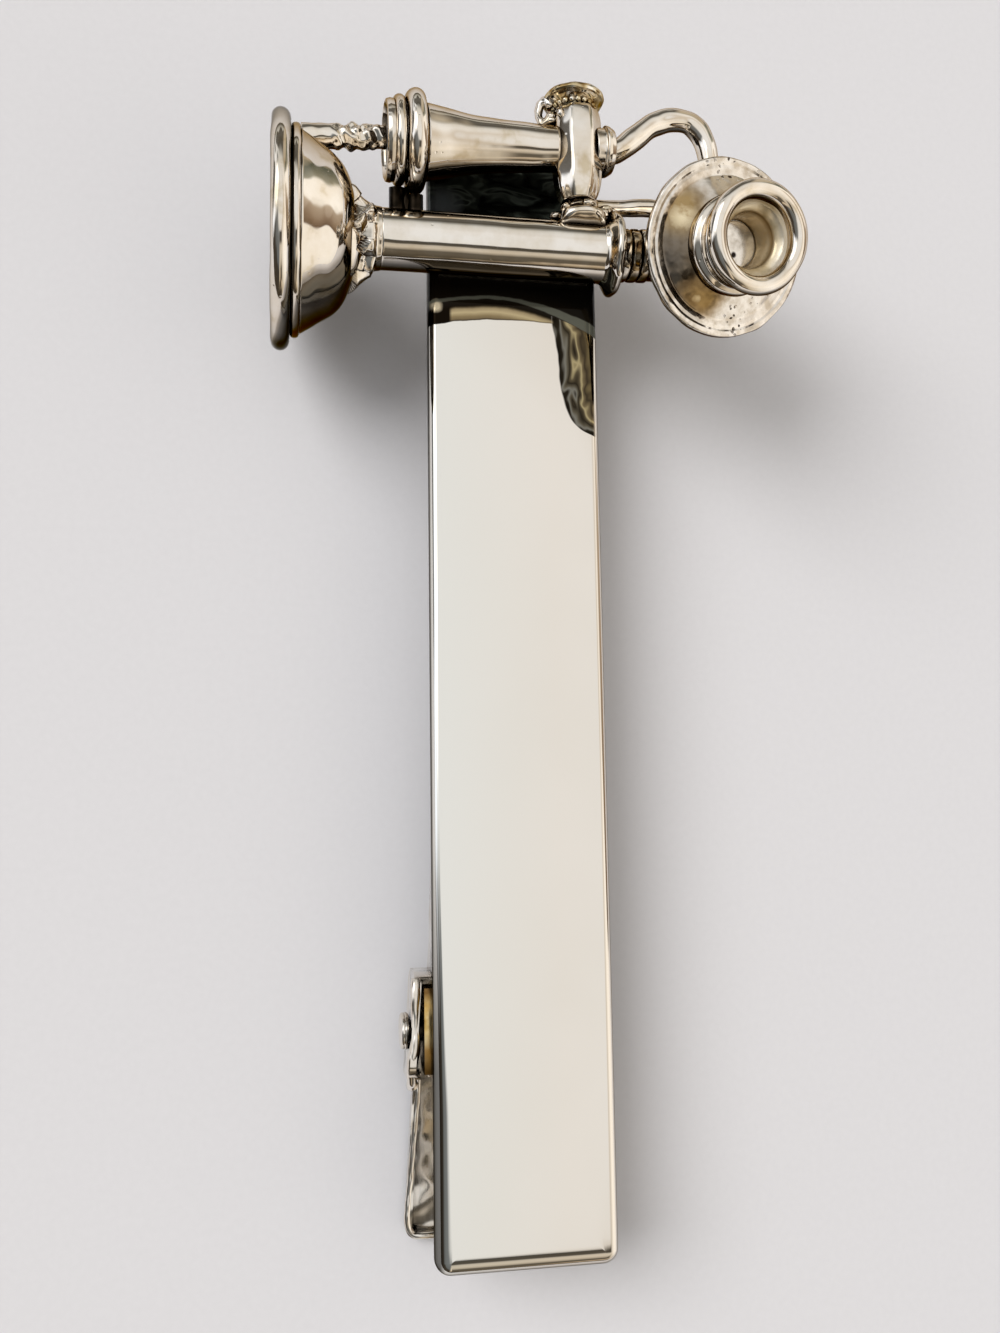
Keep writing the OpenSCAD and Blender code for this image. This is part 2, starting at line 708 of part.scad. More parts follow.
// The cast cord that bends from the receiver's tail round to the collar.
module cord_loop() {
    start_x = tail_x + tail_l - cord_r;
    start = [hook_x + start_x * cos(receiver_dip), hook_y + start_x * sin(receiver_dip), hook_z];
    run = smooth_path([for (s = cord_shares) start + cord_span * s], cord_steps);
    last = len(run) - 1;
    radii = [for (i = [0:last]) cord_r + (cord_end_r - cord_r) * pow(i / last, 2)];
    color("silver") placed() difference() {
        tube(run, radii, cord_sides, [0, 0, 1]);
        on_receiver() tail_solid(solder_gap);
        on_receiver() cylinder(h = tail_x + tail_l / 2, r = tail_r);
        on_stem(collar_x - overrun) cylinder(h = collar_t + overrun, r = collar_r + solder_gap);
        on_stem(neck_x) cylinder(h = neck_l, r = neck_ring_r + solder_gap);
    }
}

// The straight rope rod from the foot to the ear cap.
module cord_rod() {
    cap_x = hook_x - receiver_l * cos(receiver_dip);
    cap_y = hook_y - receiver_l * sin(receiver_dip);
    rod_l = cap_x - bell_x;
    rise = rod_r / 2;
    shoulder_r = bell_r - (bell_r - bell_top_r) / 3;
    color("silver") placed() difference() {
        translate([bell_x, cap_y + rise - rod_r * 0.7, hook_z])
            rotate([0, 90, 0]) rotate([-atan(rise / rod_l), 0, 0]) translate([0, 0, -rod_r])
                cylinder(h = rod_r + rod_l + cap_l / 2, r1 = rod_r, r2 = rod_end_r);
        on_stem(bell_x - 2 * rod_r) cylinder(h = 2 * rod_r, r = 2 * foot_r);
        on_stem(bell_x)
            cylinder(h = bell_h / 2, r1 = bell_r + 2 * solder_gap, r2 = shoulder_r + 2 * solder_gap);
        on_receiver() cap_solid(solder_gap);
    }
}

// The outline of a bracket ear, seen from the side, as [distance up the bar, height].
module bracket_side() {
    low = hinge_y - bracket_l / 2 + bracket_shift;
    ear_z = pin_z - bracket_ear_drop + bracket_l / 2;
    translate([low, -bar_t - bracket_t]) square([bracket_l, bracket_t]);
    translate([low, ear_z]) square([bracket_l, -bar_t - ear_z]);
    translate([hinge_y + bracket_shift, ear_z]) circle(bracket_l / 2);
}

// Extrudes a side outline across the clip, from -half to +half.
module across(half) {
    translate([-half, 0, 0]) rotate([90, 0, 90]) linear_extrude(2 * half) children();
}

// The channel shaped bracket soldered to the bar's back.
module hinge_bracket() {
    color("goldenrod") placed() clamped() difference() {
        intersection() {
            across(bracket_w / 2) bracket_side();
            translate([-bracket_w, 0, 2 * pin_z]) cube([2 * bracket_w, bar_l, -bar_t - 2 * pin_z]);
        }
        translate([-bracket_inner_half, 0, 2 * pin_z])
            cube([2 * bracket_inner_half, bar_l, -bar_t - bracket_t - 2 * pin_z]);
        across(bracket_w) translate([hinge_y, pin_z]) circle(pin_r + solder_gap);
    }
}

// The riveted hinge pin.
module hinge_pin() {
    color("silver") placed() clamped() translate([0, hinge_y, pin_z]) {
        rotate([0, 90, 0]) cylinder(h = 2 * head_x + rivet_t, r = pin_r, center = true);
        for (side = [-1, 1]) rotate([0, side * 90, 0]) translate([0, 0, head_x])
            rounded_disc(rivet_r, rivet_t, rivet_t * 0.45);
    }
}

// The middle line of the spring: first leg, coil, second leg.
coil_l = 2 * (bracket_inner_half - coil_inset);
coil_steps = 8;
coil_count = coil_steps * coil_turns + coil_steps / 2;
leg_rest_z = -bar_t - wire_r - solder_gap;
leg_drop = (web_drop - sheet_t) - coil_r - wire_r;
coil_points = [for (i = [0:coil_count])
    let (a = 90 - 360 * i / coil_steps)
    [coil_l * (i / coil_count - 0.5), hinge_y + coil_r * cos(a), pin_z + coil_r * sin(a)]];
leg_a = [
    [-coil_l / 2, hinge_y - leg_l, leg_rest_z],
    [-coil_l / 2, hinge_y - leg_l * 0.5, leg_rest_z - bracket_t],
    [-coil_l / 2, hinge_y - leg_l * 0.2, pin_z + coil_r]
];
leg_b = [
    [coil_l / 2, hinge_y - leg_l * 0.2, pin_z - coil_r],
    [coil_l / 2, hinge_y - leg_l * 0.5, pin_z - coil_r - leg_drop / 2],
    [coil_l / 2, hinge_y - leg_l, pin_z - coil_r - leg_drop]
];
spring_points = concat(leg_a, coil_points, leg_b);
spring_gap = min([for (i = [0:coil_count], j = [0:coil_count]) if (j - i >= coil_steps / 2)
    norm(coil_points[j] - coil_points[i])]) - 2 * wire_r;
echo(spring_gap = spring_gap);

// The torsion spring wound round the pin.
module torsion_spring() {
    color("darkgray") placed() clamped()
        tube(spring_points, [for (p = spring_points) wire_r], 6, [1, 0, 0]);
}

// Half of the lever's plan, from paddle end to jaw tip, drawn in by an inset.
function lever_half(inset) = let (r = paddle_corner_r) concat(
    [for (a = [0:15:90]) [
        paddle_half - r + (r - inset) * sin(a),
        paddle_start + r - (r - inset) * cos(a)
    ]],
    [
        [paddle_waist_half - inset, ear_low_y - sheet_t + inset],
        [ear_low_half - inset, ear_low_y + inset],
        [ear_high_half - inset, ear_high_y - inset],
        [jaw_half - inset, ear_high_y - inset],
        [jaw_half - inset, ear_high_y + jaw_heel_l],
        [jaw_tip_half - inset, jaw_tip_y - jaw_tip_half / 2],
        [jaw_tip_half * 0.7 - inset, jaw_tip_y - inset]
    ]
);
function mirrored(p) = [for (i = [len(p) - 1:-1:0]) [-p[i][0], p[i][1]]];

module lever_plan(inset) {
    half = lever_half(inset);
    polygon(concat(half, mirrored(half)));
}

// The lever's web, seen from the side, lifted by the sheet's thickness for its inner face.
function web_line(lift) = [
    [paddle_start - overrun, paddle_z + lift - overrun * paddle_drop / (ear_low_y - paddle_start)],
    [ear_low_y, web_z + lift],
    [ear_high_y - ear_corner_r, web_z + lift],
    [ear_high_y + jaw_step_l, -bar_t - jaw_heel_depth + lift],
    [jaw_tip_y - jaw_tip_half, jaw_top_z - jaw_tip_depth + lift],
    [jaw_tip_y + overrun, jaw_top_z - jaw_tip_depth + lift]
];

// The height of the teeth's tips at a distance up the bar.
function grip_z(y) = jaw_heel_z + (jaw_top_z - jaw_heel_z) * (y - ear_high_y) / jaw_l;
tooth_line = [for (i = [0:tooth_count * 2])
    let (y = jaw_tip_y - i * tooth_pitch / 2)
    [y, grip_z(y) - (i % 2) * tooth_h]];

// The whole side outline of the lever, web to rim, ears and teeth.
module lever_side() {
    rim_slope = paddle_drop / (ear_low_y - paddle_start);
    rim_low_z = paddle_z + sheet_t + paddle_rim;
    ear_h = ear_top_z - web_z;
    polygon(concat(
        web_line(0),
        [[jaw_tip_y + overrun, grip_z(jaw_tip_y)]],
        tooth_line,
        [[ear_high_y, grip_z(ear_high_y) - tooth_h]],
        [[ear_high_y, rim_low_z + paddle_drop]],
        [[ear_low_y, rim_low_z + paddle_drop]],
        [[paddle_start - overrun, rim_low_z - overrun * rim_slope]]
    ));
    translate([(ear_low_y + ear_high_y) / 2, web_z + ear_h / 2]) rounded_plan(ear_l, ear_h, ear_corner_r);
    translate([ear_low_y, web_z]) square([ear_l / 2, ear_h / 2]);
}

// The lever stamped from one sheet: paddle, ears and toothed jaw, turning on the pin.
module clip_lever() {
    color("silver") placed() clamped() difference() {
        intersection() {
            across(2 * paddle_half) lever_side();
            translate([0, 0, 2 * paddle_z]) linear_extrude(-2 * paddle_z) lever_plan(0);
        }
        intersection() {
            translate([0, 0, 2 * paddle_z]) linear_extrude(-2 * paddle_z) lever_plan(sheet_t);
            across(2 * paddle_half) polygon(concat(web_line(sheet_t), [
                [jaw_tip_y + overrun, 0], [paddle_start - overrun, 0]
            ]));
        }
        across(2 * paddle_half) translate([hinge_y, pin_z]) circle(bore_r);
    }
}

front_bar();
stem_seat();
foot();
foot_bead();
bell();
ferrule();
stem();
collar();
neck();
swivel_lug();
transmitter_cup();
faceplate();
mouthpiece();
mouthpiece_disc();
ear_cap();
ear_bands();
receiver_shell();
receiver_tail();
receiver_posts();
hook_flange();
hook_column();
hook_finial();
hook_curl();
cord_loop();
cord_rod();
hinge_bracket();
hinge_pin();
torsion_spring();
clip_lever();
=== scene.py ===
from math import cos, pi, radians, sin, sqrt, tan

import bpy
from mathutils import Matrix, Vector, noise


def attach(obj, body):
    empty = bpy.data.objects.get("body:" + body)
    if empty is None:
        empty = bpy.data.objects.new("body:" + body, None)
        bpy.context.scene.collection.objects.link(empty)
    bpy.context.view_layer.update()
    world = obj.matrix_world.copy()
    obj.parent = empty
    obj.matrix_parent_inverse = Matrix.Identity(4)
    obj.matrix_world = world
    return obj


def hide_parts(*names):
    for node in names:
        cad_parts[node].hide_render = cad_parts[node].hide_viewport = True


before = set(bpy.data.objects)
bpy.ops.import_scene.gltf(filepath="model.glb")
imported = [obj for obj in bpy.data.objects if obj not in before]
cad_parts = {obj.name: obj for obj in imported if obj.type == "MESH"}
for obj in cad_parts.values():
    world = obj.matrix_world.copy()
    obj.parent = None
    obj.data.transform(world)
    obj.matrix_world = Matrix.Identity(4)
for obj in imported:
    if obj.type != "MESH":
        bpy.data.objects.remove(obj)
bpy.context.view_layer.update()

# ----------------------------------------
# The bench: the clip lies on its back on a sheet of matt pale card, under a white tent.
# One wide soft light stands at the left, so the shadows fall to the right. The camera
# looks down from above the foot's side, close to the clip.


def linear(colour):
    """An sRGB hex colour as the linear values that a shader takes."""
    parts = [int(colour[i:i + 2], 16) / 255 for i in (1, 3, 5)]
    return [c / 12.92 if c <= 0.04045 else ((c + 0.055) / 1.055) ** 2.4 for c in parts] + [1]


def plug(node, sockets):
    """Gives each socket of a node its value or hex colour, or the link that drives it."""
    for key, value in sockets.items():
        if isinstance(value, bpy.types.NodeSocket):
            node.id_data.links.new(value, node.inputs[key])
        else:
            node.inputs[key].default_value = linear(value) if isinstance(value, str) else value


def add(kind, sockets, tree=None, **settings):
    """One shader node, its settings and its sockets, in the tree that its links come from."""
    tree = tree or next(v.id_data for v in sockets.values() if isinstance(v, bpy.types.NodeSocket))
    node = tree.nodes.new("ShaderNode" + kind)
    for key, value in settings.items():
        setattr(node, key, value)
    plug(node, sockets)
    return node


def ramp(value, *places):
    """A colour ramp over (place, grey value or hex colour or linear triple)."""
    node = add("ValToRGB", {0: value})
    elements = node.color_ramp.elements
    elements.remove(elements[-1])
    for i, (place, colour) in enumerate(places):
        stop = elements.new(place) if i else elements[0]
        stop.position = place
        if isinstance(colour, str):
            colour = linear(colour)
        elif isinstance(colour, (int, float)):
            colour = (colour, colour, colour)
        stop.color = (*colour[:3], 1)
    return node.outputs[0]


def maths(operation, *values, **settings):
    """Arithmetic on one to three values."""
    return add("Math", dict(enumerate(values)), operation=operation, **settings).outputs[0]


def vectors(operation, value, other, socket=1):
    """Arithmetic on two vectors, or on a vector and its scale."""
    made = add("VectorMath", {0: value, socket: other}, operation=operation)
    return made.outputs["Value" if operation in ("DOT_PRODUCT", "DISTANCE") else "Vector"]


def spread(value, low, high, start=0, end=1):
    """A value from low to high laid over start to end, and held there beyond them."""
    sockets = {"Value": value, "From Min": low, "From Max": high, "To Min": start, "To Max": end}
    return add("MapRange", sockets).outputs[0]


def blend(share, under, over, kind="MIX"):
    """One colour over another by a share."""
    return add("Mix", {"Factor": share, "A": under, "B": over}, data_type="RGBA", blend_type=kind).outputs[2]


def grain(place, scale, detail, **more):
    """Noise whose lumps are about one metre over scale wide."""
    return add("TexNoise", {"Vector": place, "Scale": scale, "Detail": detail, **more}).outputs[0]


def cells(place, scale):
    """The distance to the middle of the nearest of many scattered cells."""
    return add("TexVoronoi", {"Vector": place, "Scale": scale}).outputs["Distance"]


def bump(height, distance, over=None, strength=1):
    """A wall raised by a height of distance metres, over another bump or over the plain wall."""
    under = {"Normal": over} if over else {}
    return add("Bump", {"Height": height, "Distance": distance, "Strength": strength, **under}).outputs[0]


def stretched(place, scale):
    """A place with its axes stretched."""
    return add("Mapping", {"Vector": place, "Scale": scale}).outputs[0]


def normal_of(place):
    """The wall's normal, in the tree that a place belongs to."""
    return add("NewGeometry", {}, place.id_data).outputs["Normal"]


camera = bpy.data.objects.new("camera", bpy.data.cameras.new("camera"))
camera.location = (-0.0133676, -0.0079782, 0.0697852)
camera.rotation_euler = (radians(7.06098), radians(-10.10138), radians(-0.83620))
camera.data.sensor_width = 36
camera.data.lens = 1220 / 1333 * 36
camera.data.clip_start = 0.001
bpy.context.collection.objects.link(camera)
bpy.context.scene.camera = camera
bpy.context.scene.view_settings.view_transform = "Standard"

soft_light = bpy.data.objects.new("soft_light", bpy.data.lights.new("soft_light", "SUN"))
soft_light.data.energy = 1.95
soft_light.data.angle = radians(42)
soft_light.data.color = (1, 0.995, 0.985)
lamp_way = (-0.62, 0.34, 0.72)
soft_light.rotation_euler = Vector(lamp_way).to_track_quat("Z", "Y").to_euler()
soft_light.visible_glossy = False
bpy.context.collection.objects.link(soft_light)

# The tent's walls as the metal mirrors them: each runs from overhead (0) to the table (1)
tent = bpy.data.worlds.new("tent")
tent.use_nodes = True
tree = tent.node_tree
tree.nodes.clear()
way = add("TexCoord", {}, tree).outputs["Generated"]
x, y, z = add("SeparateXYZ", {0: way}).outputs
tilt = maths("MULTIPLY", maths("ARCCOSINE", z), 2 / pi)
walls = (  # right, left, head and foot
    (x, 1, (0, (0.87, 0.87, 0.87)), (0.25, (0.87, 0.865, 0.86)), (0.33, (0.68, 0.6, 0.5)),
     (0.42, (0.98, 0.93, 0.86)), (0.6, (1.15, 1.07, 0.96)), (0.9, (1.05, 0.98, 0.88)),
     (0.96, (0.36, 0.29, 0.2)), (1, (0.3, 0.24, 0.16))),
    (x, -1, (0, (0.87, 0.87, 0.87)), (0.3, (0.86, 0.86, 0.86)), (0.52, (0.86, 0.87, 0.88)),
     (0.68, (1.15, 1.2, 1.3)), (0.93, (1.1, 1.15, 1.25)), (0.97, (0.2, 0.18, 0.16)), (1, (0.1, 0.09, 0.07))),
    (y, 1, (0, (0.87, 0.87, 0.87)), (0.25, (0.87, 0.86, 0.85)), (0.45, (0.74, 0.73, 0.71)),
     (0.66, (0.46, 0.46, 0.43)), (0.76, (0.85, 0.83, 0.79)), (0.9, (0.42, 0.41, 0.37)),
     (0.96, (0.1, 0.09, 0.07)), (1, (0.16, 0.14, 0.1))),
    (y, -1, (0, (0.87, 0.87, 0.87)), (0.27, (0.85, 0.84, 0.82)), (0.36, (0.5, 0.45, 0.38)),
     (0.5, (0.6, 0.53, 0.43)), (0.64, (0.82, 0.71, 0.56)), (0.78, (0.76, 0.62, 0.45)),
     (0.88, (0.4, 0.31, 0.2)), (0.94, (0.06, 0.045, 0.03)), (1, (0.04, 0.03, 0.02))),
)
flat = maths("ADD", maths("MULTIPLY", y, y), maths("ADD", maths("MULTIPLY", x, x), 1e-6))
room = None
for side, sign, *places in walls:
    toward = maths("MULTIPLY", side, sign, use_clamp=True)
    share = maths("DIVIDE", maths("MULTIPLY", toward, toward), flat)
    part = vectors("SCALE", ramp(tilt, *places), share, "Scale")
    room = vectors("ADD", room, part) if room else part
# The gap in the tent toward the foot, where the camera's black hood shows as a dark line
gap = maths("ARCTAN2", maths("MULTIPLY", y, -1), z)
gap = ramp(gap, (0.4, 0), (0.45, 0.95), (0.6, 0.9), (0.68, 0))
aside = ramp(maths("ABSOLUTE", maths("SUBTRACT", x, 0.13)), (0.18, 1), (0.28, 0))
gap = maths("MULTIPLY", gap, aside)
room = blend(gap, room, (0.045, 0.038, 0.028, 1))
# The open corner at the lower left, dark, and dim shapes beyond the tent low down
corner = maths("DIVIDE", maths("MULTIPLY", x, y), flat)
corner = maths("MULTIPLY", corner, 5, use_clamp=True)
left_half = maths("LESS_THAN", x, -0.05)
low = ramp(tilt, (0.2, 0), (0.34, 1))
murk = ramp(tilt, (0.3, (0.2, 0.21, 0.215)), (0.62, (0.13, 0.135, 0.135)), (0.72, (0.05, 0.043, 0.035)),
            (1, (0.06, 0.045, 0.03)))
corner = maths("MULTIPLY", corner, left_half)
corner = maths("MULTIPLY", corner, low)
room = blend(corner, room, murk)
wobble = grain(way, 1.7, 1, Roughness=0.5, Distortion=0.4)
shapes = ramp(wobble, (0.52, 0), (0.56, 1))
deep = ramp(tilt, (0.52, 0), (0.66, 0.9))
rightward = ramp(x, (0.3, 0), (0.42, 1))
dim = maths("MULTIPLY", shapes, deep)
room = blend(dim, room, (0.05, 0.042, 0.03, 1))
# At the right the tent has openings, so the shop shows between its walls: from the head
# side on, brown shelves, a dark green curtain, a wall, a brown door, and the wide wall
bearing = maths("ARCTAN2", y, x)
bearing = maths("MULTIPLY_ADD", wobble, 0.5, bearing)
shop = ramp(spread(bearing, radians(-46), radians(94)), (0, (0.7, 0.62, 0.5)), (0.12, (1.0, 0.94, 0.85)),
            (0.25, (1.15, 1.1, 1.02)), (0.42, (1.12, 1.06, 0.98)), (0.435, (0.16, 0.1, 0.06)),
            (0.5, (0.3, 0.21, 0.14)), (0.56, (0.5, 0.4, 0.3)), (0.575, (1.1, 1.05, 0.98)),
            (0.665, (1.1, 1.05, 0.98)), (0.685, (0.3, 0.29, 0.22)), (0.75, (0.1, 0.11, 0.08)),
            (0.79, (0.52, 0.44, 0.32)), (1, (0.62, 0.54, 0.42)))
open_side = maths("MULTIPLY", rightward, deep)
room = blend(open_side, room, shop)
# The lamp's own soft box, high at the left and behind the head, brighter than the tent
box = ramp(vectors("DOT_PRODUCT", way, lamp_way), (0.95, 0), (0.975, 1))
room = blend(box, room, (1.9, 1.88, 1.85, 1))
add("OutputWorld", {"Surface": add("Background", {"Color": room, "Strength": 1}).outputs[0]})
bpy.context.scene.world = tent


def new_material(name, base=None):
    """A material, a copy of its base if it has one, with its shader and the place on the piece."""
    made = base.copy() if base else bpy.data.materials.new(name)
    made.name = name
    made.use_nodes = True
    tree = made.node_tree
    return made, tree.nodes["Principled BSDF"], add("TexCoord", {}, tree).outputs["Object"]


# Where the origin of the clip's own drawing lies in the frame, in millimetres
shift = (-0.806, -31.112, 6)


def in_frame(spot):
    """A place of the drawing, in millimetres, as the frame's metres."""
    return tuple((c + s) / 1000 for c, s in zip(spot, shift))


def new_piece(name, corners, faces, material):
    """A smooth mesh, in millimetres of the drawing, put in the frame's place."""
    mesh = bpy.data.meshes.new(name)
    mesh.from_pydata([in_frame(spot) for spot in corners], [], faces)
    mesh.validate()
    mesh.shade_smooth()
    mesh.materials.append(material)
    piece = bpy.data.objects.new(name, mesh)
    bpy.context.collection.objects.link(piece)
    return piece


def wrapped(rings, sides, ends=True):
    """The faces between rings of corners that follow each other, and over both ends."""
    faces = [(i * sides + k, i * sides + (k + 1) % sides, (i + 1) * sides + (k + 1) % sides,
              (i + 1) * sides + k)
             for i in range(rings - 1) for k in range(sides)]
    if ends:
        faces += [tuple(range(sides))[::-1], tuple((rings - 1) * sides + k for k in range(sides))]
    return faces


def settle(piece, slot, *nodes, body="clip_body"):
    """Hands a piece to the body that it moves with, in the place of the solids it stands for."""
    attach(piece, body)
    if nodes:
        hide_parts(*nodes)


# Matt card: pale grey, with a fibre grain too fine to see at this size, drawn at 0.4 mm
card, shader, place = new_material("matt pale card")
fibre = grain(place, 2500, 3)
plug(shader, {
    "Base Color": ramp(fibre, (0.3, "#D3D2D5"), (0.7, "#D5D4D7")),
    "Roughness": 0.95,
    "Specular IOR Level": 0.1,
})
reach, card_z = 900, -6.02
card_corners = [(px * reach, py * reach, card_z) for px, py in ((-1, -1), (1, -1), (1, 1), (-1, 1))]
floor = new_piece("card", card_corners, [(0, 1, 2, 3)], card)

# ----------------------------------------
# The bar: a flat blank of nickel silver, sawn and filed, its edges rounded over, then
# silver plated and buffed to a mirror on a wheel, which crowns the face a little.
bar_w, bar_l, bar_t, bar_corner, bar_edge = 9.5, 60, 1.5, 0.8, 0.45


def bar_loop(inset, height):
    """The bar's outline, drawn in by inset, as one ring of points."""
    half, r = bar_w / 2 - inset, max(bar_corner - inset, 0.02)
    right, top, bottom, ring = half - r, bar_l - inset - r, inset + r, []
    for cx, cy, turn in ((right, top, 0), (-right, top, 90), (-right, bottom, 180), (right, bottom, 270)):
        angles = [radians(turn + 9 * k) for k in range(11)]
        ring += [(cx + r * cos(angle), cy + r * sin(angle), height) for angle in angles]
        if turn in (90, 270):  # the long sides are divided, so that they can dip
            px, start, end = (-half, top, bottom) if turn == 90 else (half, bottom, top)
            ring += [(px, start + (end - start) * k / 90, height) for k in range(1, 90)]
        else:
            py, start, end = (bar_l - inset, right, -right) if turn == 0 else (inset, -right, right)
            ring += [(start + (end - start) * k / 16, py, height) for k in range(1, 16)]
    return ring


def buffed(px, py, pz):
    """How far the wheel has drawn the face down at a place, in millimetres."""
    if pz < -bar_t / 2:
        return 0
    edge = min(bar_w / 2 - abs(px), py, bar_l - py)
    drop = 0.02 * max(0, 1 - max(edge, 0) / 1.6) ** 2
    # the wheel ran off over the plain end, and over the left hand edge near it
    drop += 0.3 * max(0, 1 - py / 0.95) ** 2
    near_end = max(0, min(1, (20 - py) / 12))
    width = bar_edge + 0.4 * near_end
    drop += 0.4 * near_end * max(0, 1 - (px + bar_w / 2) / width) ** 2
    wave = 0.004 * noise.noise(Vector((px / 2.2, py / 2.6, 3)))
    return drop - wave * min(1, edge / 2)


loops = []
for centre, turns in ((-bar_t + bar_edge, range(-8, 1)), (-bar_edge, range(0, 9))):
    for k in turns:
        turn = radians(k * 90 / 8)
        loops.append(bar_loop(bar_edge * (1 - cos(turn)), centre + bar_edge * sin(turn)))
for inset in (0.52, 0.62, 0.76, 0.94, 1.15, 1.4, 1.8, 2.3, 2.9, 3.5, 4.0, 4.4, 4.7):
    loops.append(bar_loop(inset, 0))
corners = [p for ring in loops for p in ring]
corners = [(px, py, pz - buffed(px, py, pz)) for px, py, pz in corners]
faces = wrapped(len(loops), len(loops[0]))


def patch(place, middle, reach, ragged, soft=0.25, rag=0.8):
    """A patch of skin round a place in mm: 1 within its reach, 0 beyond, its edge made ragged."""
    away = vectors("DISTANCE", place, in_frame(middle))
    away = maths("MULTIPLY_ADD", ragged, rag * reach / 1000, away)
    return spread(away, (1 + rag / 2 - soft) * reach / 1000, (1 + rag / 2 + soft) * reach / 1000, 1, 0)


# Mirror buffed silver plate: warm white, with hairlines 0.1 mm apart that only soften it.
# Under the telephone the face is painted with the reflection of the telephone's dark underside:
# black, with a sharp edge, a brown band along it and a run down the right hand side
bar_silver, shader, place = new_material("buffed silver plate")
tone = grain(place, 120, 2)
clean = ramp(tone, (0.3, "#EFE8DD"), (0.7, "#F3ECE2"))
to_drawing = {"Vector": place, "Location": [-s for s in shift], "Scale": (1000, 1000, 1000)}
spot = add("Mapping", to_drawing).outputs[0]
mm = add("SeparateXYZ", {0: spot}).outputs
leftward = spread(mm[0], -4, 2, 1, 0)
clean = blend(leftward, clean, "#F0EEE7")
sway = grain(spot, 1.1, 2)
# How far above the edge of the painted reflection a place lies, in mm: the edge sags toward both ends
sag = maths("POWER", maths("SUBTRACT", mm[0], 0.2), 2)
sag = maths("MULTIPLY_ADD", sag, 0.022, -50.46)
above = maths("ADD", mm[1], sag)
above = maths("MULTIPLY_ADD", sway, 0.16, above)
# The bands inside the painted reflection drop toward the right more than its edge does
rise = maths("MAXIMUM", maths("ADD", mm[0], 1.5), 0)
rise = maths("POWER", rise, 1.6)
rise = maths("MULTIPLY_ADD", rise, 0.073, above)
depths = spread(rise, 0, 8)
# Painted reflection of the telephone's underside: bands, black above, with painted shade just over the edge
band = ramp(depths, (0.0, "#6E5F48"), (0.03, "#93815F"), (0.06, "#C4B28A"), (0.085, "#A39170"),
            (0.1, "#4A3F2D"), (0.108, "#1B160F"), (0.3, "#0D0B08"), (0.7, "#0E0E0C"), (0.78, "#1C1E1B"))
shade = ramp(spread(above, 0, 0.2), (0.1, 0.35), (0.5, 1))
band = blend(1, band, shade, "MULTIPLY")
# Painted reflection between the receiver and the stem: dark clouds with a grey-green sheen
cloud = grain(stretched(spot, (0.5, 1.1, 1)), 1, 2, Distortion=0.8)
cloud = ramp(cloud, (0.4, "#0B0B09"), (0.52, "#30342E"), (0.6, "#5E655C"), (0.66, "#20221E"))
left_end = ramp(spread(mm[0], -5, -3), (0.68, 1), (0.76, 0))
band = blend(left_end, band, "#16110B")
# A painted highlight: a small pale bead at the left end of the painted bands
band = blend(patch(place, (-4.36, 50.95, 0), 0.32, sway, 0.4), band, "#CDBFA2")
# The olive line of painted reflection over the bands, thin at the left, wider to the right
off_line = maths("ABSOLUTE", maths("SUBTRACT", rise, 1.32))
off_line = maths("MULTIPLY_ADD", maths("MAXIMUM", mm[0], 0), -0.055, off_line)
olive = spread(off_line, 0.06, 0.13, 0.85, 0)
band = blend(olive, band, "#64655A")
# A painted sheen: a grey-blue patch at the left end of the clouds
cloud = blend(patch(place, (-4.0, 56.9, 0), 0.8, sway, 0.6), cloud, "#6A6F72")
band = blend(spread(mm[1], 55.6, 56.4, 0, 0.9), band, cloud)
# The painted run: painted reflection from the dark area down the right hand edge, narrowing, to 43.9 mm
taper = spread(mm[1], 43.8, 46.6, 1, 0)
taper = maths("MULTIPLY_ADD", maths("POWER", taper, 4), 1.7, 8.713)
left_side = maths("MULTIPLY_ADD", mm[1], -0.13, taper)
depth = maths("SUBTRACT", mm[0], left_side)
drift = grain(spot, 0.6, 1)
depth = maths("MULTIPLY_ADD", maths("ADD", drift, -0.5), 0.4, depth)
painted_run = spread(depth, -0.04, 0.04)
for limit in (spread(mm[0], 4.4, 4.55, 1, 0), spread(mm[1], 43.8, 43.95)):
    painted_run = maths("MULTIPLY", painted_run, limit)
swirl = grain(stretched(spot, (0.8, 0.38, 1)), 0.95, 1, Distortion=1.2)
swirl = maths("ADD", maths("MULTIPLY_ADD", swirl, 2.3, -1.15), depth)
swirl = ramp(spread(swirl, -0.6, 2.2), (0.0, "#7C766C"), (0.06, "#3A342B"), (0.16, "#16130E"),
             (0.26, "#2A251C"), (0.33, "#7F7C72"), (0.4, "#5E5748"), (0.48, "#2E281E"), (0.56, "#5E5440"),
             (0.62, "#B5A67E"), (0.66, "#7A6C50"), (0.75, "#40372A"), (0.88, "#766849"), (1, "#9C8C6A"))
# Where the painted reflection lies: above its edge left of 2.2 mm, where the bands drop at the right, and
# only on the face
stain = spread(above, -0.02, 0.02)
stain = maths("MULTIPLY", stain, spread(mm[0], 2.1, 2.25, 1, 0))
stain = maths("MAXIMUM", stain, spread(rise, 1.0, 1.05))
stain = maths("MULTIPLY", stain, spread(mm[2], -0.75, -0.55))
# A painted reflection, dark grey, on the left hand edge near the plain end, fading out by 22 mm
painted_edge_dark = add("SeparateXYZ", {0: normal_of(place)}).outputs[0]
painted_edge_dark = spread(painted_edge_dark, -0.75, -0.45, 0.85, 0)
painted_edge_dark = maths("MULTIPLY", painted_edge_dark, spread(mm[1], 10, 22, 1, 0))
clean = blend(painted_edge_dark, clean, "#5A5A58")
skin = blend(painted_run, clean, swirl)
skin = blend(stain, skin, band)
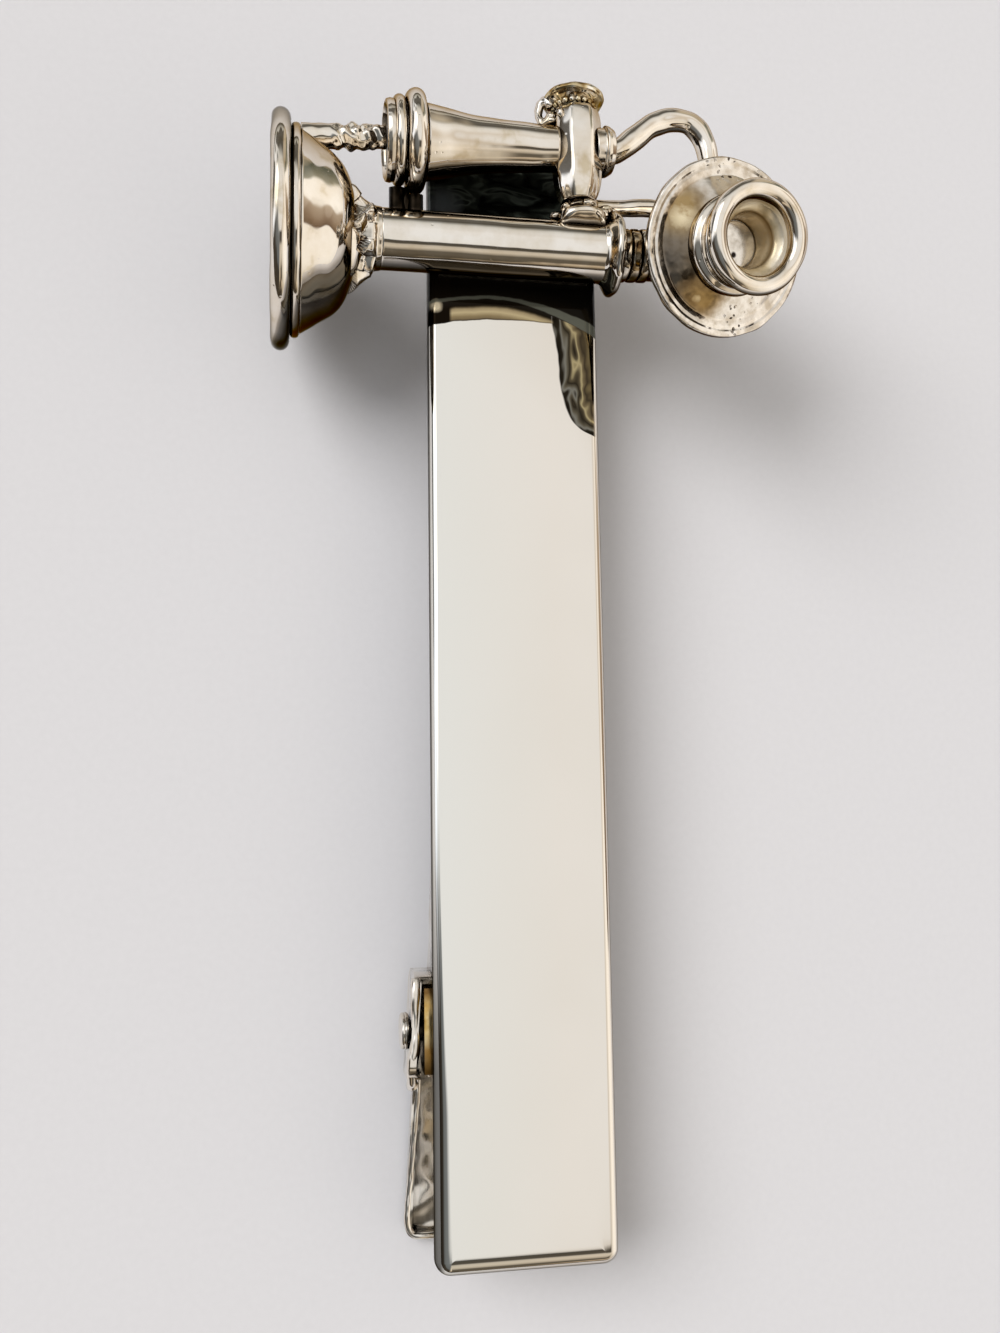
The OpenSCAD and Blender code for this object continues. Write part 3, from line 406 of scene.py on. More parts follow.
# The metal is dulled where the painted reflection is darkest, so that its painted colours show
dulled_where_painted = ramp(depths, (0.1, 0), (0.14, 0.7), (0.68, 0.7), (0.75, 0.45))
dulled_where_painted = maths("MULTIPLY", dulled_where_painted, stain)
lines = grain(stretched(place, (10000, 400, 1000)), 1, 2)
plug(shader, {
    "Base Color": skin,
    "Specular Tint": "#6E6A64",
    "Metallic": maths("SUBTRACT", 1, dulled_where_painted),
    "Roughness": spread(lines, 0, 1, 0.02, 0.06),
    "Normal": bump(lines, 2e-7, strength=0.3),
})
front = new_piece("buffed_bar", corners, faces, bar_silver)
settle(front, "bar_polish", "front_bar")

# ----------------------------------------
# Solder: silver solder run in between the stem and the bar. It sets grey, with a frosty
# skin, and is only brushed afterwards.
solder_skin, shader, place = new_material("brushed silver solder")
skin = grain(place, 3000, 4)
plug(shader, {
    "Base Color": ramp(skin, (0.3, "#6E675A"), (0.7, "#A39C8E")),
    "Roughness": spread(skin, 0, 1, 0.25, 0.5),
    "Normal": bump(skin, 3e-5),
    "Metallic": 1,
})


def dress(node, material):
    """Gives a solid of the frame its finish."""
    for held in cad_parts[node].material_slots:
        held.material = material


dress("stem_seat", solder_skin)

# ----------------------------------------
# The telephone's base: foot disc, bead and bell, cast in silver from a rubber mould wax
# and barrel polished, so the edges are soft and the bell's wall is not quite true.


def rounded(points, gap=0.14):
    """A turned outline of (along, radius, corner radius) in mm: corners rounded, sides divided."""
    path = []
    for i, (along, radius, corner) in enumerate(points):
        p = Vector((along, radius))
        if not corner or i in (0, len(points) - 1):
            path.append(p)
            continue
        back, on = Vector(points[i - 1][:2]) - p, Vector(points[i + 1][:2]) - p
        if back.angle(on) > 3.1:
            path.append(p)
            continue
        cut = min(corner / tan(back.angle(on) / 2), back.length * 0.49, on.length * 0.49)
        q, s = p + back.normalized() * cut, p + on.normalized() * cut
        path += [q * (1 - t) ** 2 + p * 2 * t * (1 - t) + s * t * t for t in [k / 6 for k in range(7)]]
    out = [path[0]]
    for p in path[1:]:
        step = p - out[-1]
        parts = max(1, int(step.length / gap))
        start = out[-1].copy()
        out += [start + step * (k + 1) / parts for k in range(parts)]
    return out


def curve_through(points, steps):
    """A smooth run through the points, with steps places from each to the next."""
    out = []
    for i in range(len(points) - 1):
        p0, p1, p2, p3 = (Vector(points[max(0, min(len(points) - 1, j))]) for j in (i - 1, i, i + 1, i + 2))
        for k in range(steps):
            t = k / steps
            square, cube = 2 * p0 - 5 * p1 + 4 * p2 - p3, 3 * p1 - p0 - 3 * p2 + p3
            out.append(0.5 * (2 * p1 + (p2 - p0) * t + square * t * t + cube * t ** 3))
    return out + [Vector(points[-1])]


def flared(start, length, slim, wide, shares, steps):
    """The outline of a flare, length long, from shares of its length and of its widening."""
    return curve_through([(start + length * a, slim + wide * b) for a, b in shares], steps)


def turned(name, outline, start, way, material, wave=0.0, size=1.5, sides=96, seed=0.0, chip=None):
    """A piece of revolution about the line from start along way, its wall uneven by wave mm."""
    start, way = Vector(start), Vector(way).normalized()
    out = way.orthogonal().normalized()
    across = way.cross(out)
    corners, rings = [], []
    for i, p in enumerate(outline):
        if p[1] < 1e-4:
            rings.append([len(corners)])
            corners.append(start + way * p[0])
            continue
        before, after = outline[max(i - 1, 0)], outline[min(i + 1, len(outline) - 1)]
        slope = (after - before).normalized()
        ring = []
        for k in range(sides):
            spoke = out * cos(2 * pi * k / sides) + across * sin(2 * pi * k / sides)
            spot = start + way * p[0] + spoke * p[1]
            normal = spoke * slope[0] - way * slope[1]
            shift = wave * noise.noise(spot / size + Vector((seed, seed, seed)))
            if chip:
                shift += chip(spot, p[0])
            ring.append(len(corners))
            corners.append(spot + normal * shift)
        rings.append(ring)
    faces = []
    for a, b in zip(rings, rings[1:]):
        for k in range(sides):
            j = (k + 1) % sides
            if len(a) == 1 and len(b) == 1:
                continue
            if len(a) == 1:
                faces.append((a[0], b[j], b[k]))
            elif len(b) == 1:
                faces.append((a[k], a[j], b[0]))
            else:
                faces.append((a[k], a[j], b[j], b[k]))
    if outline[0] != outline[-1]:  # an outline that comes back to its start needs no ends
        faces += [tuple(end) for end in (rings[0][::-1], rings[-1]) if len(end) > 1]
    return new_piece(name, corners, faces, material)


def with_painted_shade(clean, reach, least=0.3, most=0.62, under=1.0):
    """Painted shade over the finish: brown low down and on the back, and black where parts meet closer than
    reach.
    """
    # painted shade in the nooks: black where ambient occlusion finds other parts near
    nearness = add("AmbientOcclusion", {"Distance": reach}, clean.id_data, samples=6).outputs["AO"]
    painted_nook_shade = ramp(nearness, (least, 1), (most, 0))
    facing = add("SeparateXYZ", {0: normal_of(clean)}).outputs
    # painted shade on faces turned down, to the right or toward the foot; faces turned up, left or to the
    # head stay clean
    low = maths("MULTIPLY_ADD", facing[0], -0.45, facing[2])
    low = spread(maths("MULTIPLY_ADD", facing[1], 0.45, low), -0.5, 0.3)
    back = ramp(low, (0.1, 0.94 * under), (0.4, 0.82 * under), (0.58, 0.6 * under), (0.68, 0.12 * under),
                (0.85, 0))
    nook_and_back_shade = maths("MAXIMUM", painted_nook_shade, back)
    return blend(nook_and_back_shade, clean, ramp(nook_and_back_shade, (0.3, "#6B543A"), (0.8, "#19120B")))


# Barrel polished cast silver: warm and bright, browner in random patches, with
# casting pits 0.1 to 0.2 mm across and soft dents about 2 mm wide; painted shade in the nooks and underneath
cast_silver, shader, place = new_material("barrel polished cast silver")
tone = grain(place, 700, 3, Roughness=0.55)
clean = ramp(tone, (0.28, "#D6C7AC"), (0.42, "#EEE4D5"), (0.7, "#F7F1E8"))
pits = ramp(cells(place, 2200), (0.05, 0), (0.16, 1))
many = ramp(grain(place, 500, 1), (0.56, 1), (0.62, 0))
pits = maths("MAXIMUM", pits, many)
dent_bump = bump(grain(place, 520, 1, Roughness=0.4), 5e-5)
plug(shader, {
    "Base Color": with_painted_shade(clean, 5e-4),
    "Specular Tint": "#B39B74",
    "Roughness": spread(tone, 0.3, 0.7, 0.1, 0.04),
    "Normal": bump(pits, 1.2e-5, dent_bump),
    "Metallic": 1,
})

stem_y, stem_z = 53.75, 1.75
stem_line = (0, stem_y, stem_z)
foot_x, bead_x, bell_x, ferrule_x, stem_x, collar_x = -13.3, -12.3, -11.8, -9.15, -7.55, 4.75


def cast(piece, *nodes):
    """A casting of the telephone, in the place of the frame's solids."""
    settle(piece, "cast_silver", *nodes)


rubbed_name = "barrel polished cast silver, rubbed bright at the edge"
foot_silver, shader, place = new_material(rubbed_name, cast_silver)
plug(shader, {"Specular Tint": "#9E9A92"})
foot_turns = [radians(t) for t in range(0, 181, 6)]
foot_round = [(foot_x + 0.5 - 0.5 * cos(t), 5.55 + 0.5 * sin(t)) for t in foot_turns]
foot_path = [Vector(q) for q in [(foot_x, 0)] + foot_round + [(bead_x, 0)]]
cast(turned("foot_disc", foot_path, stem_line, (1, 0, 0), foot_silver,
            wave=0.05, size=1.8, sides=144, seed=1), "foot")
cast(turned("foot_step", rounded([(bead_x, 0, 0), (bead_x, 5.4, 0.25), (bell_x, 5.4, 0.25), (bell_x, 0, 0)]),
            stem_line, (1, 0, 0), cast_silver, wave=0.05, size=1.3, sides=144, seed=2), "foot_bead")
bell_shares = [(0, 1), (0.2, 0.88), (0.4, 0.74), (0.6, 0.6), (0.74, 0.47), (0.85, 0.33), (0.93, 0.18), (1, 0)]
bell_path = flared(bell_x, 2.65, 2.65, 2.5, bell_shares, 8)
bell_path = [Vector((bell_x, 0))] + bell_path + [Vector((ferrule_x, 0))]
cast(turned("bell_casting", bell_path, stem_line, (1, 0, 0), cast_silver,
            wave=0.16, size=2.6, sides=128, seed=3), "bell")

# ----------------------------------------
# The ferrule between bell and stem: a cast flare, smooth at the back, with a rough patch
# in front where the sprue was snapped off and only half dressed: tilted chips and holes.
chip_places = (  # along the stem, degrees round it, and how far the chip stands up
    (-9.3, 62, 0), (-8.7, 70, -0.22), (-8.2, 78, 0.12), (-9.25, 88, -0.3), (-8.75, 98, 0.14),
    (-8.2, 104, 0), (-9.2, 114, 0.1), (-8.7, 124, -0.28), (-8.25, 132, 0.16), (-9.15, 140, 0.16),
    (-8.7, 152, -0.12), (-8.2, 160, 0.1), (-9.2, 168, -0.25), (-8.6, 180, 0.12),
)
chip_spots = []
for k, (along, round_stem, height) in enumerate(chip_places):
    r, turn = 2.45 - 0.55 * (along + 9.3), radians(round_stem)
    middle = Vector((along, stem_y + r * cos(turn), stem_z + r * sin(turn)))
    lean = Vector([noise.noise(Vector((k * 3.7, 1.3 + 9 * axis, 0.4))) for axis in range(3)])
    chip_spots.append((middle, lean, height))


def leaf_chip(spot, along):
    """Each chip tilts the wall its own way about its middle, below and before the stem."""
    middle, lean, height = min(chip_spots, key=lambda c: (c[0] - spot).length_squared)
    fade = max(0, min(1, (along + 9.5) / 0.12, (-7.85 - along) / 0.3))
    front = max(0, min(1, ((spot[2] - stem_z) - 0.75 * (spot[1] - stem_y) - 0.5) / 0.4))
    return fade * front * max(-0.6, min(0.28, 1.5 * height + 2.6 * lean.dot(spot - middle)))


ferrule_shares = [(0, 1), (0.18, 0.68), (0.4, 0.4), (0.62, 0.19), (0.82, 0.06), (1, 0)]
ferrule_flare = [(ferrule_x + 1.6 * a, 1.61 + 0.98 * b) for a, b in ferrule_shares]
ferrule_path = curve_through([(ferrule_x - 0.35, 2.72)] + ferrule_flare, 6)
ferrule_path = [Vector((ferrule_x - 0.35, 0))] + ferrule_path + [Vector((stem_x + 0.05, 0))]
cast(turned("leafy_ferrule", ferrule_path, stem_line, (1, 0, 0), cast_silver,
            wave=0.05, size=0.9, sides=180, seed=4, chip=leaf_chip), "ferrule")

# ----------------------------------------
# The stem, its collar and the ringed neck: drawn silver rod, turned on the lathe and
# polished, soldered together end on. It is truer than the castings, with a few pits.
# The rod has the same painted shade in its nooks and underneath as the castings
rod_silver, shader, place = new_material("turned and polished silver rod")
tone = grain(place, 700, 3)
clean = ramp(tone, (0.3, "#E6DCCC"), (0.6, "#F5EFE6"))
pits = ramp(cells(place, 1800), (0.04, 0), (0.14, 1))
few = ramp(grain(place, 420, 1), (0.56, 1), (0.62, 0))
pits = maths("MAXIMUM", pits, few)
ripple_bump = bump(grain(place, 600, 1), 2.2e-5)
plug(shader, {
    "Base Color": with_painted_shade(clean, 4e-4, 0.3, 0.65),
    "Specular Tint": "#B39B74",
    "Normal": bump(pits, 1.2e-5, ripple_bump),
    "Metallic": 1,
    "Roughness": 0.06,
})
stem_path = [(stem_x - 0.1, 0, 0), (stem_x - 0.1, 1.6, 0), (collar_x, 1.6, 0), (collar_x, 0, 0)]
cast(turned("stem_rod", rounded(stem_path, 0.2), stem_line, (1, 0, 0), rod_silver,
            wave=0.012, size=2.2, seed=5), "stem")
collar_round = [(4.5, 1.58), (4.72, 1.72), (4.9, 1.98), (5.06, 2.2), (5.2, 2.26), (5.36, 2.22), (5.48, 2.05),
                (5.5, 1.8)]
collar_path = [Vector((4.5, 0))] + curve_through(collar_round, 5) + [Vector((5.5, 0))]
cast(turned("stem_collar", collar_path, stem_line, (1, 0, 0), rod_silver,
            wave=0.08, size=0.9, seed=6), "collar")
# The neck is the same rod, dark and pale in random patches, its grooves blackened by a stronger painted shade
neck_silver, shader, place = new_material("oxidised and wiped silver rod", rod_silver)
wiped = grain(place, 900, 3)
clean = ramp(wiped, (0.38, "#4A3A28"), (0.46, "#A08A68"), (0.56, "#EFE6D6"))
plug(shader, {"Base Color": with_painted_shade(clean, 5e-4, 0.6, 0.9)})
neck_path = [(5.5, 0, 0), (5.5, 1.1, 0)]
for k in range(3):
    middle = 5.5 + 1.7 / 3 * (k + 0.5)
    neck_path += [(middle - 0.28, 1.1, 0.05), (middle - 0.26, 1.42, 0.2), (middle + 0.26, 1.42, 0.2),
                  (middle + 0.28, 1.1, 0.05)]
neck_path += [(7.2, 1.1, 0), (7.2, 0, 0)]
cast(turned("ringed_neck", rounded(neck_path, 0.07), stem_line, (1, 0, 0), neck_silver,
            wave=0.06, size=0.7, seed=7), "neck")
dress("swivel_lug", neck_silver)

# ----------------------------------------
# The transmitter: a cast cup, a faceplate with a rolled rim and a groove, and the
# mouthpiece, soldered one on the other. The face was hard to reach and kept its pits.
face_way = Vector((0.1857, -0.2609, 0.9473)).normalized()
pivot = Vector((9.65, 53.75, 1.75))
cup_shares = [(0, 0), (0.08, 0.16), (0.28, 0.36), (0.5, 0.58), (0.72, 0.79), (0.9, 0.94), (1, 1)]
cup_path = [Vector((-1.2, 0))] + flared(-1.2, 4.7, 1.8, 2.25, cup_shares, 6) + [Vector((3.5, 0))]
cast(turned("transmitter_back", cup_path, pivot, face_way, cast_silver,
            wave=0.08, size=1.6, sides=128, seed=8), "transmitter_cup")

# Pitted cast silver: as the casting left it under a light polish, with open pits 0.1 to
# 0.25 mm across in clusters near the rim, brown inside; within the rim, painted reflection in grey and gold
# patches and small painted highlights, and painted shade in the nooks
pitted_silver, shader, place = new_material("pitted cast silver")
grit = add("TexNoise", {"Vector": place, "Scale": 2500, "Detail": 1}).outputs["Color"]
grit = vectors("ADD", place, vectors("SCALE", grit, 3.5e-4, "Scale"))
spots = ramp(cells(grit, 3300), (0.2, 1), (0.32, 0))
cloudy = grain(place, 520, 3, Roughness=0.6)
sparse = ramp(cloudy, (0.5, 0), (0.56, 1))
pit_clusters = (((10.9, 56.5, 6.5), 1.2), ((9.2, 56.4, 6.8), 0.6), ((12.9, 50.3, 4.4), 1.5),
                ((11.4, 49.4, 4.4), 1.0), ((13.9, 52.2, 4.8), 0.8), ((8.3, 55.6, 6.8), 0.4))
pit_zone = None
for middle, reach in pit_clusters:
    zone = patch(place, middle, reach, cloudy)
    pit_zone = zone if pit_zone is None else maths("MAXIMUM", pit_zone, zone)
pit_zone = maths("MULTIPLY", pit_zone, sparse)
spots = maths("MULTIPLY", spots, pit_zone)
skin = ramp(cloudy, (0.3, "#E2D8CB"), (0.5, "#F4EEE6"))
fine = grain(place, 1500, 3)
within = patch(place, (10.39, 52.71, 5.54), 3.9, 0.5, 0.04)
# Painted reflection: grey patches where the face mirrors darker surroundings, gold ones, and pale painted
# highlights
painted_patches = (((7.9, 52.3, 5.9), 2.2, "#8A7F71", 0.5), ((8.6, 50.9, 5.4), 1.6, "#8C7A60", 0.5),
           ((9.3, 50.1, 5.1), 0.9, "#B79A68", 0.6), ((7.8, 54.1, 6.4), 1.1, "#AE9468", 0.5),
           ((7.75, 53.75, 6.3), 0.52, "#FFF0CC", 0.5), ((8.2, 53.2, 6.1), 0.22, "#FBE3B0", 0.4),
           ((8.9, 50.1, 5.1), 0.25, "#FFEEC6", 0.4), ((9.5, 49.9, 4.9), 0.18, "#FBE3B0", 0.4),
           ((7.3, 51.6, 5.8), 0.9, "#6C645A", 0.8))
for middle, reach, colour, soft in painted_patches:
    small = reach < 0.6
    zone = patch(place, middle, reach, fine if small else cloudy, soft, 3 if small else 1)
    skin = blend(maths("MULTIPLY", zone, within), skin, colour)
mottle = ramp(fine, (0.35, (0.72, 0.68, 0.62)), (0.55, (1, 1, 1)))
skin = blend(1, skin, mottle, "MULTIPLY")
skin = blend(spots, skin, "#4A3825")
dent_bump = bump(grain(place, 900, 2), 7e-5)
hollow = maths("SUBTRACT", 1, spots)
plug(shader, {
    "Base Color": with_painted_shade(skin, 3.5e-4),
    "Roughness": spread(spots, 0, 1, 0.12, 0.4),
    "Normal": bump(hollow, 5e-5, dent_bump),
    "Metallic": 1,
    "Specular Tint": "#B39B74",
})
plate_path = [(3.5, 0, 0), (3.5, 4.6, 0.25), (3.98, 4.6, 0.22), (3.98, 4.3, 0.12), (3.93, 4.18, 0.08),
              (3.96, 4.02, 0.1), (3.93, 3.7, 0.3), (4.5, 2.55, 0.1), (4.5, 0, 0)]
cast(turned("faceplate_disc", rounded(plate_path, 0.09), pivot, face_way, pitted_silver,
            wave=0.07, size=1.3, sides=160, seed=9), "faceplate")
mouth_path = [(4.5, 0, 0), (4.5, 2.62, 0.3), (5.15, 2.6, 0.3), (5.35, 2.3, 0.15), (5.75, 2.24, 0.1),
              (5.84, 2.44, 0.14), (6.1, 2.44, 0.14), (6.2, 2.22, 0.1), (6.6, 2.26, 0.1)]
mouth_path += [(7.07 - 0.48 * cos(radians(t)), 2.37 + 0.48 * sin(radians(t)), 0) for t in range(20, 300, 10)]
mouth_path += [(6.5, 1.88, 0.1), (6.3, 1.66, 0.1), (5.6, 1.42, 0.3), (4.8, 1.29, 0.1), (4.78, 0, 0)]
cast(turned("mouthpiece_horn", rounded(mouth_path, 0.07), pivot, face_way, cast_silver,
            wave=0.04, size=1.4, sides=144, seed=10), "mouthpiece")

# The horn's bore: reamed and left golden, satin from the reamer's fine rings
horn_lining, shader, place = new_material("reamed golden silver")
tone = grain(place, 900, 3)
skin = ramp(tone, (0.35, "#D9CDB2"), (0.5, "#F2EAD8"), (0.65, "#FBF6EA"))
deep_in = vectors("DOT_PRODUCT", place, face_way)
mouth_at = Vector(in_frame(pivot)).dot(face_way)
# golden deep in, its own colour, with painted shade in a dark ring at the step and painted light, pale to
# white, toward the mouth
golden_and_painted_light = ramp(spread(deep_in, mouth_at + 0.0048, mouth_at + 0.0069), (0.0, (0.62, 0.5, 0.32)),
               (0.5, (0.78, 0.66, 0.46)), (0.68, (0.3, 0.22, 0.12)), (0.76, (0.85, 0.75, 0.58)),
               (0.9, (1, 1, 1)))
plug(shader, {
    "Base Color": blend(1, skin, golden_and_painted_light, "MULTIPLY"),
    "Normal": bump(tone, 5e-5),
    "Metallic": 0.6,
    "Roughness": 0.25,
})
bore_path = [(6.9, 1.95), (6.78, 1.88), (6.66, 1.84), (6.56, 1.76), (6.46, 1.6), (6.38, 1.47), (6.28, 1.41),
             (6.0, 1.38), (5.6, 1.34), (5.2, 1.29), (4.84, 1.24), (4.8, 1.24), (4.8, 1.31), (5.6, 1.45),
             (6.3, 1.7), (6.9, 1.99), (6.9, 1.95)]
bore = turned("mouthpiece_bore", [Vector(q) for q in bore_path], pivot, face_way, horn_lining, sides=96)
settle(bore, "cast_silver")

# The little plate at the bottom of the horn: rolled silver sheet, punched and set in,
# bright, with one dark prick in it
disc_silver, shader, place = new_material("rolled silver sheet")
tone = grain(place, 1500, 2)
clean = ramp(tone, (0.3, "#C9C2B8"), (0.5, "#F2EEE8"))
prick = patch(place, (10.5, 52.0, 6.2), 0.16, tone)
plug(shader, {
    "Base Color": blend(prick, clean, "#1E1813"),
    "Normal": bump(tone, 2e-6),
    "Metallic": 0.85,
    "Roughness": 0.12,
})
disc_path = [(4.5, 0, 0), (4.5, 1.2, 0), (4.88, 1.2, 0.05), (4.87, 0, 0)]
disc = turned("mouthpiece_plate", rounded(disc_path, 0.05), pivot, face_way, disc_silver,
              wave=0.004, size=0.6, sides=64, seed=11)
settle(disc, "mirror_disc", "mouthpiece_disc")

# ----------------------------------------
# The receiver: a cast shell flared toward the ear, two round bands, a dark cap and a
# ring at the tail, held on the hook by a spigot through its column.
hook = Vector((3.35, 59.2, 2.6))
dip = radians(1.8)
ear_way = Vector((cos(dip), sin(dip), 0))
shell_shares = [(0, 1), (0.08, 0.86), (0.2, 0.63), (0.34, 0.41), (0.5, 0.26), (0.66, 0.15), (0.84, 0.05),
                (1, 0)]
shell_path = flared(-8.557, 7.157, 1.2, 0.78, shell_shares, 8)
shell_path = [Vector((-8.557, 0))] + shell_path + [Vector((-1.4, 0))]
cast(turned("receiver_shell_casting", shell_path, hook, ear_way, cast_silver,
            wave=0.035, size=1.6, sides=112, seed=12), "receiver_shell")
band_path = []
for middle, radius, half in ((-10.0, 2.32, 0.3), (-9.14, 2.67, 0.52)):
    turns = [radians(t) for t in range(-10, 191, 12)]
    band_path += [(middle - half * cos(turn), radius - half + half * sin(turn), 0) for turn in turns]
band_path = [(-10.28, 0, 0)] + band_path + [(-8.6, 2.02, 0), (-8.57, 0, 0)]
cast(turned("receiver_bands", rounded(band_path, 0.08), hook, ear_way, cast_silver,
            wave=0.045, size=1.2, sides=128, seed=13), "ear_bands")
tail_path = [(0.7, 0, 0), (0.7, 1.24, 0), (1.2, 1.2, 0.1), (1.28, 1.36, 0.15), (1.5, 1.3, 0.1),
             (1.62, 1.22, 0.1), (1.78, 1.12, 0.15), (1.78, 0, 0)]
cast(turned("receiver_tail_ring", rounded(tail_path, 0.08), hook, ear_way, cast_silver,
            wave=0.03, size=0.8, seed=14), "receiver_tail")

# The ear cap: the same silver blackened with liver of sulphur and wiped, so it is dark
# brown with a bright rubbed edge
black_silver, shader, place = new_material("blackened silver")
tone = grain(place, 1400, 3)
rubbed = add("Bevel", {"Radius": 2e-4}, place.id_data, samples=4).outputs[0]
edge = vectors("DOT_PRODUCT", rubbed, normal_of(place))
edge = ramp(edge, (0.93, 1), (0.995, 0))
dark = ramp(tone, (0.3, "#2A221A"), (0.7, "#4B4034"))
plug(shader, {
    "Base Color": blend(edge, dark, "#CDBFA8"),
    "Normal": bump(tone, 3e-5),
    "Metallic": 1,
    "Roughness": 0.28,
})
cap_path = [(-10.5, 0, 0), (-10.52, 1.78, 0.05), (-10.28, 1.8, 0.05), (-10.28, 0, 0)]
cap = turned("ear_cap_disc", rounded(cap_path, 0.06), hook, ear_way, black_silver,
             wave=0.03, size=0.9, seed=15)
settle(cap, "dark_recess", "ear_cap")
rim_path = [(-10.3, 1.6, 0), (-10.62, 1.78, 0.05), (-10.75, 1.9, 0.05), (-10.7, 2.06, 0.06),
            (-10.5, 2.12, 0.08), (-10.28, 2.08, 0.05), (-10.25, 1.6, 0)]
cap_rim = turned("ear_cap_rim", rounded(rim_path, 0.06), hook, ear_way, cast_silver,
                 wave=0.03, size=0.9, seed=15)
settle(cap_rim, "cast_silver")

# The posts and their solder take the blackened silver, painted nearly black for the shade they stand in
shade_black_silver, shader, place = new_material("blackened silver, painted black for shade", black_silver)
painted_shade_black = ramp(grain(place, 1400, 3), (0.3, "#0F0C08"), (0.7, "#2B241C"))
plug(shader.inputs["Base Color"].links[0].from_node, {"A": painted_shade_black, "B": "#3A3128"})
dress("receiver_posts", shade_black_silver)

# ----------------------------------------
# The switch hook: a cast column of eight faces on a round flange, with a thick ring and
# a beaded saucer on top and a small curl of wire beside it, all soldered to the stem.
foot_corners, foot_sides = [], 72
foot_rings = [(56.13, 0.9, 4), (55.85, 0.9, 4), (55.72, 0.95, 4), (55.62, 1.08, 4), (55.56, 1.2, 4),
              (55.46, 1.3, 3.65), (55.34, 1.35, 3.68), (55.2, 1.36, 3.62), (55.07, 1.35, 3.5),
              (54.95, 1.32, 3.32), (None, 1.28, 2.95)]
for along, r, front_z in foot_rings:
    for k in range(foot_sides):
        turn = 2 * pi * k / foot_sides
        fx, fz = hook[0] + r * cos(turn), min(hook[2] + 0.82 * r * sin(turn), front_z)
        if along is None:  # the last ring lies on the stem, let in a little
            along_stem = stem_y + sqrt(max(0, 1.6 ** 2 - (fz - stem_z) ** 2)) - 0.06
        swell = 0.05 * noise.noise(Vector((fx / 0.6, (along or 54.8) / 0.6, fz / 0.6)))
        foot_corners.append((fx + swell * cos(turn), along_stem if along is None else along,
                             fz + swell * sin(turn)))
cast(new_piece("hook_foot", foot_corners, wrapped(len(foot_rings), foot_sides), cast_silver), "hook_flange")
column_shares = [(0, 0), (0.12, 0.57), (0.3, 0.93), (0.52, 1), (0.75, 0.97), (0.92, 0.83), (1, 0.63)]
column_corners, ring = [], 8 * 6
levels = [tuple(p) for p in curve_through(column_shares, 6)]
for share, swell in levels:
    half = 1.42 * (0.67 + 0.33 * swell)
    for k in range(ring):
        turn = 2 * pi * (k + 0.5) / ring
        facet = (turn % (pi / 4)) - pi / 8
        reach = half * cos(pi / 8) / cos(facet)
        reach += 0.03 * noise.noise(Vector((cos(turn) * 2, share * 6, sin(turn) * 2)))
        column_corners.append((hook[0] - 0.2 + reach * cos(turn + pi / 8), 56.12 + 5.2 * share,
                               hook[2] + reach * sin(turn + pi / 8)))
# this piece grows the other way, so its faces run the other way round
column_faces = [(face[0], *face[:0:-1]) for face in wrapped(len(levels), ring)]
column = new_piece("hook_column_casting", column_corners, column_faces, cast_silver)
softened = column.modifiers.new("softened edges", "BEVEL")
softened.width, softened.segments = 5e-5, 2
softened.limit_method, softened.angle_limit = "ANGLE", radians(20)
cast(column, "hook_column")
# The crown: golden and pale in random patches, with the painted shade underneath at less than half strength
crown_silver, shader, place = new_material("barrel polished silver, painted shade underneath", cast_silver)
tone = grain(place, 1300, 2)
clean = ramp(tone, (0.38, "#A68B5E"), (0.5, "#E2D0A8"), (0.62, "#F6F0E4"))
plug(shader, {"Base Color": with_painted_shade(clean, 2.5e-4, 0.2, 0.6, 0.45)})
finial_path = [(61.3, 0, 0), (61.3, 0.9, 0), (61.5, 1.0, 0.1), (61.66, 1.2, 0.1), (61.78, 1.42, 0.1),
               (61.86, 1.52, 0.05), (61.88, 1.64, 0.06), (62.0, 1.7, 0.08), (62.14, 1.68, 0.08),
               (62.24, 1.56, 0.08), (62.24, 1.3, 0.1), (62.14, 0.8, 0.2), (62.12, 0, 0)]
finial_x = hook[0] - 0.35
cast(turned("finial_ring", rounded(finial_path, 0.07), (finial_x, 0, hook[2]), (0, 1, 0), crown_silver,
            wave=0.06, size=0.8, seed=17), "hook_finial")


def blob(name, middle, size, material, seed):
    """A small bead of metal that ran and froze: rounded, never quite a ball."""
    corners, rows, sides = [], 10, 18
    for i in range(rows + 1):
        for k in range(sides):
            up, turn = pi * i / rows, 2 * pi * k / sides
            spoke = Vector((sin(up) * cos(turn), cos(up), sin(up) * sin(turn)))
            spoke *= 1 + 0.22 * noise.noise(spoke * 1.7 + Vector((seed, 0, 0)))
            corners.append((middle[0] + size[0] * spoke[0], middle[1] + size[1] * spoke[1],
                            middle[2] + size[2] * spoke[2]))
    return new_piece(name, corners, wrapped(rows + 1, sides, ends=False), material)


post_solder = blob("post_solder", (-6.175, 56.05, 1.7), (0.22, 0.8, 0.36), shade_black_silver, 70)
settle(post_solder, "solder")
for k in range(20):
    turn = 2 * pi * k / 20
    spot = (finial_x + 1.12 * cos(turn), 61.56, hook[2] + 1.12 * sin(turn))
    bead = blob(f"crown_bead_{k:02d}", spot, (0.15, 0.16, 0.13), crown_silver, k)
    settle(bead, "cast_silver")
solder_beads = (  # each bead's middle and half sizes
    ((2.35, 55.6, 3.1), (0.3, 0.22, 0.3)), ((4.35, 55.5, 2.95), (0.4, 0.26, 0.3)),
    ((3.5, 55.75, 3.5), (0.34, 0.2, 0.2)), ((4.75, 56.0, 2.2), (0.42, 0.3, 0.5)),
    ((2.1, 60.9, 3.3), (0.2, 0.26, 0.2)), ((5.25, 56.1, 1.9), (0.3, 0.24, 0.4)),
    ((1.75, 60.75, 2.7), (0.3, 0.24, 0.3)), ((1.95, 55.45, 2.3), (0.34, 0.2, 0.34)),
)
